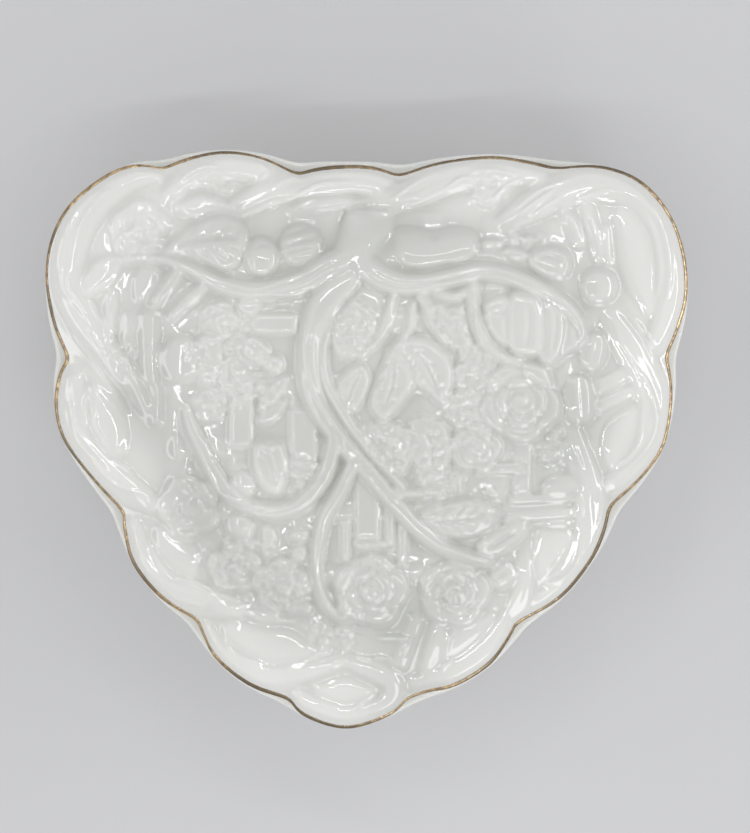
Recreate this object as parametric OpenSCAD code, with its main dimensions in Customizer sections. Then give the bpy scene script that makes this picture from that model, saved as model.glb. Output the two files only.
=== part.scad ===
// Heart-shaped porcelain trinket box: a scalloped, gilded lid that lifts off a lobed bowl.
// Frame: origin under the middle of the foot, +Z up, the heart's point towards -Y. Millimetres.

/* [Lid] */
// Width of the lid across its gilded edge
lid_width = 128.6; // [110:0.2:150]
// Height of the dome's crown above the lid's seat
dome_height = 13; // [10:0.5:18]
// Height of the lid's lip, from its seat to the top of the gilding
lip_height = 3.2; // [2.6:0.1:4.5]
// How far the locating flange reaches down into the bowl
flange_depth = 4.5; // [3:0.5:7]
// Thickness of the locating flange
flange_wall = 2.6; // [2:0.1:3.2]
// Width of the gilded line
gilding_width = 0.9; // [0.6:0.1:1.4]
// Thickness that stands in for the gilding
gilding_thick = 0.2; // [0.15:0.05:0.3]

/* [Bowl] */
// Height of the bowl's rim above the table
bowl_height = 38; // [30:1:48]
// Height of the foot ring
foot_height = 2; // [1.5:0.5:3]
// Width of the foot ring's bearing face
foot_wall = 3; // [2:0.5:4]

/* [Porcelain] */
// Thickness of the bowl's wall and of the lid's dome
wall = 3.2; // [2.8:0.1:3.8]
// Gap between the flange and the bowl's mouth
mouth_gap = 0.7; // [0.5:0.1:1.2]
// Gap between the lid's seat and the bowl's rim, for the two glazed faces
seat_gap = 0.3; // [0.3:0.1:0.5]

/* [Hidden] */

// The lid's edge: one row a lobe, clockwise from the left-hand notch. A row starts at the notch
// where its lobe begins, then follows the lobe's crown. The rows fit a lid drawn_width wide.
drawn_width = 128.6;
lobes = [
    [[-60, 16.5], [-63, 24], [-64.3, 33], [-63, 41], [-59.3, 47.5], [-52.5, 53], [-46.5, 55.2]],
    [[-41, 54.5], [-35.3, 56.7], [-28.3, 57.9], [-21, 56.7]],
    [[-14, 53.5], [-9, 54.7], [-3.3, 55.1], [1.7, 54.7]],
    [[6.5, 53.1], [14.7, 55.7], [24.7, 56.9], [32, 56]],
    [[38, 54.6], [46.7, 55], [54.7, 52.2], [60.4, 46], [63.6, 38], [64.3, 29.5], [62.8, 23]],
    [[60.3, 17], [61.2, 11], [61, 5], [59.3, -2], [54.8, -8]],
    [[49, -13.3], [47.6, -19], [45, -24.5], [39, -31.7]],
    [[30.2, -36.8], [28.2, -40.5], [24.5, -45.3], [17.7, -49.4], [12, -50.6]],
    [[8.2, -52], [4.5, -55.3], [-4, -57.9], [-12.3, -55.5]],
    [[-15.7, -52], [-23.3, -49.4], [-30, -44.2], [-32.6, -39.5]],
    [[-34, -36.2], [-41.3, -31.7], [-46.8, -25], [-48.6, -18.5]],
    [[-48.8, -14.5], [-55.3, -7.5], [-60.8, 0], [-62.5, 7], [-61.8, 12.7]]
];

steps = 3;                  // facets from one drawn point to the next
smooth_reach = 7;           // facets each way that the softened outline averages over
middle = [0, 4];            // the point that the rings close in on
seat_z = bowl_height + seat_gap;
bowl_overhang = 1.9;        // how far the softened outline grows to make the bowl's edge
bowl_softness = 0.4;        // share of the softened outline in the bowl's edge
rim_round = 0.8;            // rounding of the bowl's rim
mouth_softness = 0.3;       // extra softening of the bowl's mouth
rim_extra = 1;              // how much thicker the bowl is at its rim than below it

// A point of the curve through four points, between the middle two.
function spline(a, b, c, d, t) = 0.5 * (2 * b + (c - a) * t + (2 * a - 5 * b + 4 * c - d) * t * t
    + (3 * b - a - 3 * c + d) * t * t * t);

// One lobe's curve through its points q, without the last point.
function lobe_curve(q) = let (n = len(q) - 1) [
    for (i = [0:n - 1], j = [0:steps - 1])
        spline(i == 0 ? 2 * q[0] - q[1] : q[i - 1], q[i], q[i + 1],
            i == n - 1 ? 2 * q[n] - q[n - 1] : q[i + 2], j / steps)
];

// Every point p of a ring, averaged with its neighbours up to reach places away.
function softened(ring, reach) = let (n = len(ring)) [
    for (i = [0:n - 1])
        let (near = [for (k = [-reach:reach]) ring[(i + k + n) % n]]) sum(near) / len(near)
];
function sum(v, i = 0) = i == len(v) - 1 ? v[i] : v[i] + sum(v, i + 1);
function mix(a, b, share) = [for (i = [0:len(a) - 1]) a[i] * (1 - share) + b[i] * share];

// The ring moved outwards by d, square to itself.
function grown(ring, d) = let (n = len(ring)) [
    for (i = [0:n - 1])
        let (along = ring[(i + 1) % n] - ring[(i + n - 1) % n])
            ring[i] + d * [-along.y, along.x] / norm(along)
];

// The ring drawn in towards the middle, by d everywhere or to a share of its size.
function inset(ring, d) = [for (p = ring) p - d * (p - middle) / norm(p - middle)];
function shrunk(ring, share) = [for (p = ring) middle + share * (p - middle)];
function at(ring, z) = [for (p = ring) [p.x, p.y, z]];

lid_edge = (lid_width / drawn_width) * [
    for (i = [0:len(lobes) - 1])
        each lobe_curve(concat(lobes[i], [lobes[(i + 1) % len(lobes)][0]]))
];
soft_edge = softened(lid_edge, smooth_reach);
bowl_edge = grown(mix(lid_edge, soft_edge, bowl_softness), bowl_overhang);
bowl_soft = softened(bowl_edge, smooth_reach);
bowl_mouth = inset(mix(bowl_edge, bowl_soft, mouth_softness), wall + rim_extra);
flange_outer = inset(bowl_mouth, mouth_gap);
flange_inner = inset(flange_outer, flange_wall);
foot_outer = inset(mix(bowl_edge, bowl_soft, 0.8), 10.5);
foot_inner = inset(foot_outer, foot_wall);

// A closed skin over a stack of rings, flat at both ends.
module loft(rings) {
    n = len(rings[0]);
    last = len(rings) - 1;
    polyhedron(
        points = [for (r = rings) each r],
        faces = concat(
            [[for (i = [0:n - 1]) i]],
            [for (k = [0:last - 1], i = [0:n - 1])
                let (a = k * n + i, b = k * n + (i + 1) % n) each [[a, a + n, b], [b, a + n, b + n]]],
            [[for (i = [n - 1:-1:0]) last * n + i]]
        )
    );
}

// A closed hoop whose section is one point from each ring.
module hoop(rings) {
    n = len(rings[0]);
    m = len(rings);
    polyhedron(
        points = [for (r = rings) each r],
        faces = [
            for (k = [0:m - 1], i = [0:n - 1])
                let (a = k * n + i, b = k * n + (i + 1) % n, c = ((k + 1) % m) * n + i,
                    d = ((k + 1) % m) * n + (i + 1) % n) each [[a, c, d], [a, d, b]]
        ]
    );
}

// A flat hoop between two outlines.
module flat_ring(outer, inner, z, height) {
    translate([0, 0, z]) linear_extrude(height) difference() {
        polygon(outer);
        polygon(inner);
    }
}

// The bowl: its belly swells from the foot to a lobed rim, and its floor is coved.
module bowl() {
    belly = mix(bowl_edge, bowl_soft, 0.2);
    low = mix(bowl_edge, bowl_soft, 0.8);
    top = bowl_height;
    floor_z = foot_height + wall;
    color("ivory") loft([
        at(inset(low, 9.5), foot_height),
        at(inset(low, 6), foot_height + 2.2),
        at(inset(mix(low, belly, 0.4), 3), foot_height + 7),
        at(inset(belly, 0.8), top * 0.42),
        at(inset(belly, 0), top * 0.65),
        at(inset(bowl_edge, 0.6), top * 0.86),
        at(bowl_edge, top - rim_round - 0.6),
        at(inset(bowl_edge, 0.25), top - 0.3),
        at(inset(bowl_edge, rim_round), top),
        at(inset(bowl_mouth, -0.4), top),
        at(bowl_mouth, top - 0.4),
        at(inset(bowl_mouth, 0.1), top * 0.86),
        at(inset(bowl_soft, wall + 1.4), top * 0.42),
        at(inset(bowl_soft, wall + 4.2), floor_z + 4.5),
        at(inset(bowl_soft, wall + 8), floor_z + 1),
        at(inset(bowl_soft, wall + 12), floor_z)
    ]);
}

// The ring that the bowl stands on, left unglazed.
module foot_ring() {
    color("linen") flat_ring(foot_outer, foot_inner, 0, foot_height);
}

// Where the gilding lies on the lip: from the lip's widest point to its top.
lip_low = at(lid_edge, seat_z + lip_height - gilding_width);
lip_top = at(inset(lid_edge, gilding_width * 0.75), seat_z + lip_height);

// The lid: a lip, a dome that loses its lobes towards the crown, and a hollow underneath.
module lid_shell() {
    soft = soft_edge;
    crown = seat_z + dome_height;
    color("ivory") loft([
        at(shrunk(soft, 0.08), crown - wall),
        at(shrunk(soft, 0.3), crown - wall - 0.5),
        at(shrunk(soft, 0.55), crown - wall - 2),
        at(shrunk(soft, 0.78), crown - wall - 5.2),
        at(inset(flange_inner, 1.6), seat_z + 2),
        at(inset(flange_inner, 0.5), seat_z),
        at(inset(lid_edge, 1), seat_z),
        at(inset(lid_edge, 0.2), seat_z + 0.7),
        at(lid_edge, seat_z + 1.4),
        lip_low,
        lip_top,
        at(inset(mix(lid_edge, soft, 0.2), 3.2), seat_z + lip_height + 0.7),
        at(inset(mix(lid_edge, soft, 0.5), 8), seat_z + lip_height + 2.6),
        at(shrunk(soft, 0.78), crown - 4.8),
        at(shrunk(soft, 0.55), crown - 1.9),
        at(shrunk(soft, 0.3), crown - 0.5),
        at(shrunk(soft, 0.08), crown)
    ]);
}

// The ring under the lid that drops into the bowl's mouth and keeps the lid in place.
module lid_flange() {
    color("linen") flat_ring(flange_outer, flange_inner, seat_z - flange_depth, flange_depth);
}

// The gilded line, a thin hoop over the lip's upper corner.
module lid_gilding() {
    proud = gilding_thick;
    color("gold") hoop([
        lip_top,
        lip_low,
        at(grown(lid_edge, proud), seat_z + lip_height - gilding_width + 0.1),
        at(inset(lid_edge, gilding_width * 0.75 - 0.1), seat_z + lip_height + proud)
    ]);
}

bowl();
foot_ring();
lid_shell();
lid_flange();
lid_gilding();
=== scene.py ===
import math

import bpy
import numpy as np
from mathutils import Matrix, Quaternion, Vector


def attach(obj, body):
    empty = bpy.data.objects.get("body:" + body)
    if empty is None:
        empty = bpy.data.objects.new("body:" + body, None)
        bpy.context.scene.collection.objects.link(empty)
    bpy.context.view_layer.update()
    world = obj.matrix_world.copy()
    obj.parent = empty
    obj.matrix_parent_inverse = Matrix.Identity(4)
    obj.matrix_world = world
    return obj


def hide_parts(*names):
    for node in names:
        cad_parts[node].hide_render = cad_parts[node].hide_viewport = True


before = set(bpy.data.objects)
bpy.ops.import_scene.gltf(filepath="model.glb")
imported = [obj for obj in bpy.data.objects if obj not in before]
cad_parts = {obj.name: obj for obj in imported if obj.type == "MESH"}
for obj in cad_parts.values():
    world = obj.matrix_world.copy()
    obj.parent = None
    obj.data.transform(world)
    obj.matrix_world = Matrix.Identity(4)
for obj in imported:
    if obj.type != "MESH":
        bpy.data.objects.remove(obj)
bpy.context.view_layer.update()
MM = 0.001                  # the shapes are worked out in millimetres


# ---------------------------------------------------------------- relief
# The relief is built on a square grid, in millimetres above a smooth surface. Every motif is
# one call, and the later ones lie over the earlier ones.
CELL = 0.2
STEP = 0.3                  # from one point to the next of the curves that motifs follow
LID_FIELD = (-67, -60)      # the south-west corner of the lid's grid
MARGIN = 20                 # how far the bowl's unrolled grid goes on past its two ends
BOWL_FIELD = (-MARGIN, 0)


def catmull(a, b, c, d, t):
    """The Catmull-Rom curve from b to c, at the shares t of the way."""
    return 0.5 * (2 * b + (c - a) * t + (2 * a - 5 * b + 4 * c - d) * t**2
                  + (3 * b - a - 3 * c + d) * t**3)


def spline(points, closed=False):
    """A smooth curve through the points, whose columns after x and y are carried along."""
    p = np.array(points, float)
    if closed:
        p = np.vstack([p[-1], p, p[0], p[1]])
    else:
        p = np.vstack([2 * p[0] - p[1], p, 2 * p[-1] - p[-2]])
    out = []
    for a, b, c, d in zip(p, p[1:], p[2:], p[3:]):
        n = max(2, int(np.hypot(*(c - b)[:2]) / STEP))
        out.append(catmull(a, b, c, d, (np.arange(n) / n)[:, None]))
    if not closed:
        out.append(p[-2][None])
    return np.vstack(out)


def smoothstep(t):
    """From 0 to 1 without a corner, as t goes from 0 to 1."""
    t = np.clip(t, 0, 1)
    return t * t * (3 - 2 * t)


class Relief:
    """A height field that motifs are laid on."""

    def __init__(self, west, south, width, height):
        self.west, self.south = west, south
        self.cols, self.rows = int(width / CELL) + 1, int(height / CELL) + 1
        self.x, self.y = np.meshgrid(west + CELL * np.arange(self.cols),
                                     south + CELL * np.arange(self.rows))
        self.h = np.zeros((self.rows, self.cols))
        self.fine = []          # furrows that are sharpened again once the rest is softened

    def window(self, x0, x1, y0, y1):
        """The grid's rows and columns over a box, as slices."""
        c0, c1 = int((x0 - self.west) / CELL), int((x1 - self.west) / CELL) + 2
        r0, r1 = int((y0 - self.south) / CELL), int((y1 - self.south) / CELL) + 2
        return (slice(max(r0, 0), max(min(r1, self.rows), 0)),
                slice(max(c0, 0), max(min(c1, self.cols), 0)))

    def along(self, curve, reach):
        """For the cells near a curve: their box, how far to its side and past its ends they lie,
        and its nearest point."""
        lo, hi = curve[:, :2].min(0) - reach, curve[:, :2].max(0) + reach
        box = self.window(lo[0], hi[0], lo[1], hi[1])
        gx, gy = self.x[box], self.y[box]
        best = np.full(gx.shape, 1e9)
        index = np.zeros(gx.shape, int)
        r0, c0 = box[0].start, box[1].start
        # a short run of the curve at a time, for the few cells that are near it
        for k in range(0, len(curve), 12):
            part = curve[k:k + 13, :2]
            plo, phi = part.min(0) - reach, part.max(0) + reach
            rr, cc = self.window(plo[0], phi[0], plo[1], phi[1])
            sub = slice(rr.start - r0, rr.stop - r0), slice(cc.start - c0, cc.stop - c0)
            d2 = (gx[sub][..., None] - part[:, 0])**2 + (gy[sub][..., None] - part[:, 1])**2
            j = d2.argmin(-1)
            d2 = np.take_along_axis(d2, j[..., None], -1)[..., 0]
            closer = d2 < best[sub]
            best[sub] = np.where(closer, d2, best[sub])
            index[sub] = np.where(closer, j + k, index[sub])
        tangent = np.gradient(curve[:, :2], axis=0)
        tangent /= np.linalg.norm(tangent, axis=1)[:, None] + 1e-9
        dx, dy = gx - curve[index, 0], gy - curve[index, 1]
        tx, ty = tangent[index, 0], tangent[index, 1]
        ends = (index == 0) | (index == len(curve) - 1)
        return box, tx * dy - ty * dx, np.where(ends, tx * dx + ty * dy, 0), index

    def lay(self, box, shape, edge, sink, soft=0.55, broad=0.0, blend=0.16):
        """Lays a shape: a crease runs round its outside, and inside it the higher surface shows.
        The crease is sink deep and soft wide, in a wider hollow that is broad deep, and blend is
        how gently the shape meets what is there."""
        h = self.h[box]
        away = np.maximum(edge, 0)
        h = h - sink * np.exp(-(away / soft)**2) - broad * np.exp(-(away / 2)**2)
        near = np.maximum(blend - np.abs(h - shape), 0)**2 / (4 * blend)
        self.h[box] = np.where(edge < 0, np.maximum(h, shape) + near, h)

    def under(self, curve, share):
        """A share of the height under a curve, smoothed, for a motif that rides over it."""
        r = np.clip(((curve[:, 1] - self.south) / CELL).astype(int), 0, self.rows - 1)
        c = np.clip(((curve[:, 0] - self.west) / CELL).astype(int), 0, self.cols - 1)
        k = np.ones(21) / 21
        return share * np.convolve(np.pad(self.h[r, c], 10, mode="edge"), k, mode="valid")

    def strand(self, points, rise, lanes=1, taper=(0.6, 0.6), sink=0.36, ride=0.35, flat=0.5,
               groove=0.4, broad=0.0, lean=0.0, twist=0.0, blend=0.16, phase=0.0):
        """A stem or twig through points x, y, half width. Lanes are the ridges side by side, with
        grooves between them, that twist round it. Its ends sink away over the lengths in taper,
        ride is how much of what lies under it it follows, and it leans higher on one side."""
        curve = spline(points)
        steps = np.linalg.norm(np.diff(curve[:, :2], axis=0), axis=1)
        length = np.concatenate([[0], np.cumsum(steps)])
        fade = (smoothstep(length / max(taper[0], 0.1))
                * smoothstep((length[-1] - length) / max(taper[1], 0.1)))
        half = np.maximum(curve[:, 2], 0.2)
        box, side, past, index = self.along(curve, half.max() + (4 if broad else 2))
        w = half[index]
        u = np.hypot(side, past) / w
        crest = (rise + self.under(curve, ride))[index] * fade[index]**0.7
        body = np.maximum(1 - u**2, 0)**flat * (1 + lean * side / w)
        if lanes > 1:
            v = np.abs(((side / w + 1) / 2 * lanes + phase + twist * length[index]) % 1 * 2 - 1)
            body = body * (1 - groove * v**3)
        self.lay(box, crest * body, (u - 1) * w, sink * fade[index], broad=broad * fade[index],
                 blend=blend)

    def leaf(self, points, half, rise, veins=0.1, sink=0.4, rib=0.3, ride=0.3, saw=0.0):
        """A leaf from its stalk to its tip, with a midrib, side veins and a notched edge."""
        curve = spline(points)
        t = np.linspace(0, 1, len(curve))
        width = np.maximum(half * np.sin(np.pi * np.clip(0.04 + 0.96 * t, 0, 1)**0.8)**0.8, 0.12)
        box, side, past, index = self.along(curve, half + 2)
        length = STEP * index
        w = width[index] * (1 + saw * (((length - 0.5 * np.abs(side)) / 1.5) % 1 - 0.5))
        u = np.hypot(side, past) / w
        body = np.maximum(1 - u**2, 0)**0.42 * (1 - rib * np.exp(-(side / 0.35)**2))
        ripple = (veins * np.cos(2 * np.pi * (length - 0.9 * np.abs(side)) / 1.7)
                  * np.minimum(np.abs(side) / 0.8, 1))
        crest = (rise + self.under(curve, ride))[index]
        self.lay(box, crest * body + ripple * (u < 0.95), (u - 1) * w, sink)

    def frond(self, points, size, rise, count, half):
        """A stalk with small leaves in pairs."""
        curve = spline(points)
        for k in range(count):
            i = int((k + 0.6) / count * (len(curve) - 3)) + 1
            p, way = curve[i, :2], curve[i + 1, :2] - curve[i - 1, :2]
            a = math.atan2(way[1], way[0])
            for s in (-1, 1):
                b = a + s * math.radians(50 + 12 * rng.normal())
                n = size * (1 + 0.2 * rng.normal()) * (1 - 0.35 * k / count)
                tip = p + n * np.array([math.cos(b), math.sin(b)])
                middle = (p + tip) / 2 + s * 0.12 * n * np.array([-math.sin(b), math.cos(b)])
                self.leaf([p, middle, tip], half * (1 + 0.2 * rng.normal()),
                          rise * (1 + 0.15 * rng.normal()), veins=0, sink=0.22, rib=0.2, ride=0.5)
        self.strand([(x, y, 0.42) for x, y in points], rise * 0.8, sink=0.12, ride=0.6)

    def plate(self, points, rise, round_=1.2, sink=0.33, jag=0.0):
        """A shape with a drawn outline, whose edge is rounded over the length round_. With jag it
        is notched like a leaf's."""
        curve = spline(points, closed=True)
        if jag:
            step = np.roll(curve, -1, 0) - np.roll(curve, 1, 0)
            out = np.column_stack([-step[:, 1], step[:, 0]]) / np.linalg.norm(step, axis=1)[:, None]
            teeth = (np.arange(len(curve)) * STEP / 1.8) % 1 - 0.5
            curve = curve + jag * teeth[:, None] * out * 2
        lo, hi = curve.min(0) - 2, curve.max(0) + 2
        box = self.window(lo[0], hi[0], lo[1], hi[1])
        gx, gy = self.x[box], self.y[box]
        d = np.full(gx.shape, 1e9)
        inside = np.zeros(gx.shape, bool)
        for (x0, y0), (x1, y1) in zip(curve, np.roll(curve, -1, 0)):
            d = np.minimum(d, (gx - x0)**2 + (gy - y0)**2)
            if y0 != y1:
                crossed = ((gy >= y0) != (gy >= y1)) & (gx < x0 + (gy - y0) * (x1 - x0) / (y1 - y0))
                inside ^= crossed
        d = np.where(inside, np.sqrt(d), -np.sqrt(d))
        body = (1 - (1 - np.clip(d / round_, 0, 1))**2)**0.5
        base = 0.2 * self.h[box][inside].mean() if inside.any() else 0
        self.lay(box, (rise + base) * body, -d, sink)

    def score(self, points, depth, width=0.3, again=True):
        """A furrow drawn into what is there, or with a negative depth a thin ridge on it. With
        again it is drawn once more when the rest has been softened."""
        if again:
            self.fine.append((points, 0.5 * depth, max(0.9 * width, 0.26)))
        curve = spline(points)
        box, side, past, index = self.along(curve, 4 * width)
        t = np.minimum(index, len(curve) - 1 - index) / max(4, len(curve) * 0.3)
        self.h[box] -= depth * np.exp(-(side**2 + past**2) / width**2) * smoothstep(t)

    def polar(self, x, y, rx, ry, turn, reach=2):
        """For the cells round an ellipse: their box, their place along and across it, their radius,
        and how far outside its edge they lie."""
        r = max(rx, ry) + reach
        box = self.window(x - r, x + r, y - r, y + r)
        dx, dy = self.x[box] - x, self.y[box] - y
        c, s = math.cos(math.radians(turn)), math.sin(math.radians(turn))
        a, b = (c * dx + s * dy) / rx, (c * dy - s * dx) / ry
        q = np.hypot(a, b)
        return box, a, b, q, (q - 1) * min(rx, ry)

    def bud(self, x, y, rx, ry, rise, turn=0, petals=0, power=0.5):
        """A ball or closed bud. Petals are furrows from its near end to its far end."""
        box, a, b, q, edge = self.polar(x, y, rx, ry, turn)
        body = np.maximum(1 - q**2, 0)**power
        if petals:
            furrow = np.abs(np.sin(np.pi * petals * (b * (1 - 0.15 * a) + 1) / 2 + 0.6))**6
            body = body * (1 - 0.3 * furrow)
        base = 0.3 * self.h[box][q < 1].mean() if (q < 1).any() else 0
        self.lay(box, (rise + base) * body, edge, 0.35)

    def petal(self, x, y, rx, ry, turn, rise):
        """A rose's petal: a dish whose far edge is the higher one."""
        box, a, b, q, edge = self.polar(x, y, rx, ry, turn, 1.5)
        dish = 0.22 * np.exp(-(a + 0.1)**2 / 0.3 - b**2 / 0.4)
        body = np.maximum(1 - q**4, 0)**0.5 * (0.8 + 0.2 * a) * (1 - dish)
        self.lay(box, rise * body, edge, 0.35, soft=0.4)

    def rose(self, x, y, radius, rise, turn=0, squash=1.0, tilt=0):
        """An open rose: two rings of petals round a wound heart."""
        def spot(r, a):
            u = r * radius * math.cos(math.radians(a))
            v = r * radius * squash * math.sin(math.radians(a))
            c, s = math.cos(math.radians(tilt)), math.sin(math.radians(tilt))
            return x + c * u - s * v, y + s * u + c * v

        def ring(count, first, out, rx, ry, rises):
            for k in range(count):
                a = first + 360 * k / count
                self.petal(*spot(out, a), rx * radius, ry * radius * (0.5 + 0.5 * squash), a + tilt,
                           base + rise * rises[k % 2])

        box, a, b, q, edge = self.polar(x, y, radius * 0.95, radius * squash * 0.95, tilt)
        base = 0.2 * self.h[box][q < 1].mean()
        self.lay(box, (0.7 * rise + base) * np.maximum(1 - q**4, 0)**0.5, edge, 0.3)
        ring(5, turn, 0.55, 0.47, 0.52, (0.78, 0.84))
        ring(4, turn + 36, 0.3, 0.34, 0.4, (0.93, 0.93))
        heart = radius * 0.36
        box, a, b, q, edge = self.polar(x, y, heart, heart * (0.3 + 0.7 * squash), tilt, 1)
        wound = q * 1.3 - np.arctan2(b, a) / (2 * np.pi) - turn / 360
        body = (0.84 + 0.16 * np.cos(2 * np.pi * wound)) * np.maximum(1 - q**4, 0)**0.5
        self.lay(box, (base + rise * 1.05) * body, edge, 0.3, soft=0.4)

    def slat(self, x0, y0, x1, y1, half, rise, sink=0.25):
        """A flat strip of the trellis."""
        curve = spline([(x0, y0), (x1, y1)])
        box, side, past, _ = self.along(curve, half + 1.5)
        u = np.maximum(np.abs(side), np.abs(past)) / half
        self.lay(box, rise * np.maximum(1 - u**5, 0)**0.5, (u - 1) * half, sink, soft=0.4)


def blurred(field, sigma):
    """A Gaussian blur, sigma in millimetres."""
    n = max(1, int(3 * sigma / CELL))
    k = np.exp(-0.5 * (np.arange(-n, n + 1) * CELL / sigma)**2)
    k /= k.sum()
    out = np.pad(field, n, mode="edge")
    out = sum(w * out[i:i + field.shape[0], :] for i, w in enumerate(k))
    return sum(w * out[:, i:i + field.shape[1]] for i, w in enumerate(k))


rng = np.random.default_rng(7)

# The twisted twigs of the border, one row a lobe, clockwise from the left: x, y, half width.
# Each starts inside its neighbour's lobe, sweeps out round its own and dives under the next.
BORDER = [
    [(-42, 4, 1.6), (-46.5, 11, 2.2), (-52, 18.2, 2.8), (-57.3, 25.5, 3.5), (-59.9, 33, 3.9),
     (-59.1, 39.9, 4), (-56.3, 45.7, 4), (-51.7, 50.5, 3.9), (-46, 53.4, 3.2), (-40, 53.8, 2.2)],
    [(-40.5, 46.5, 1.5), (-36.3, 51.7, 2.7), (-31.3, 54.3, 3.2), (-25.7, 54.9, 3.3),
     (-20.3, 53.3, 2.9), (-14.7, 49.3, 1.8)],
    [(-31, 43.2, 1.4), (-24.3, 46.7, 2.6), (-18.3, 49.9, 3.2), (-11.3, 51.9, 3.4),
     (-4.3, 52.4, 3.3), (2.3, 51.3, 2.8), (7.1, 48.5, 1.8)],
    [(-1.3, 43, 1.4), (3.7, 46.5, 2.4), (9.7, 49.5, 3.1), (16.7, 52.5, 3.4), (24.7, 54, 3.3),
     (31.7, 53.3, 2.8), (37.1, 50.9, 1.8)],
    [(24.7, 41.3, 1.4), (30.7, 45.3, 2.8), (37.7, 49.3, 3.6), (45.7, 51.5, 3.9), (53.5, 49.8, 4),
     (58.7, 44.7, 4), (61, 37.9, 3.9), (61.3, 29.9, 3.7), (59.1, 21.9, 2.8), (56.3, 16.5, 1.8)],
    [(46.5, 26.5, 1.8), (51.5, 19.3, 3.2), (55.9, 12.1, 3.8), (57.9, 4.9, 3.9), (56.1, -2.1, 3.7),
     (51.9, -7.1, 3), (46.3, -10.5, 1.8)],
    [(40.3, 3.9, 1.6), (42.3, -4.1, 2.9), (44.5, -12.1, 3.5), (44.8, -20.1, 3.8),
     (41.9, -26.9, 3.8), (36.5, -31.7, 3.2), (30.3, -34.5, 1.9)],
    [(31, -21.5, 1.5), (31.3, -30.1, 2.5), (28, -37.9, 3.2), (22.5, -44.1, 3.5), (15.7, -47.8, 3.2),
     (7.7, -49.3, 2)],
    [(-6.3, -43, 1.2), (0.7, -45.6, 2.1), (5.7, -49, 2.3), (3.7, -52.9, 2.4), (-4.1, -55.3, 2.6),
     (-11.1, -53.1, 2.4), (-15.5, -49.7, 1.6)],
    [(-2.7, -43, 1.2), (-10.3, -45.5, 2.1), (-18.3, -47.5, 2.9), (-25.3, -46, 3.3),
     (-30.5, -42, 2.8), (-33.3, -35.9, 1.8)],
    [(-22.5, -34, 1.4), (-28.3, -33.1, 2.5), (-35.3, -31.2, 3.5), (-42, -27.8, 3.8),
     (-46, -22.1, 3.4), (-47.7, -14.9, 2)],
    [(-39.5, -14.5, 1.5), (-47.5, -9.9, 3.1), (-53.3, -5.5, 3.7), (-57.9, 0.3, 3.7),
     (-59, 7.9, 3.5), (-58.9, 14.5, 2.2)],
]

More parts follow.
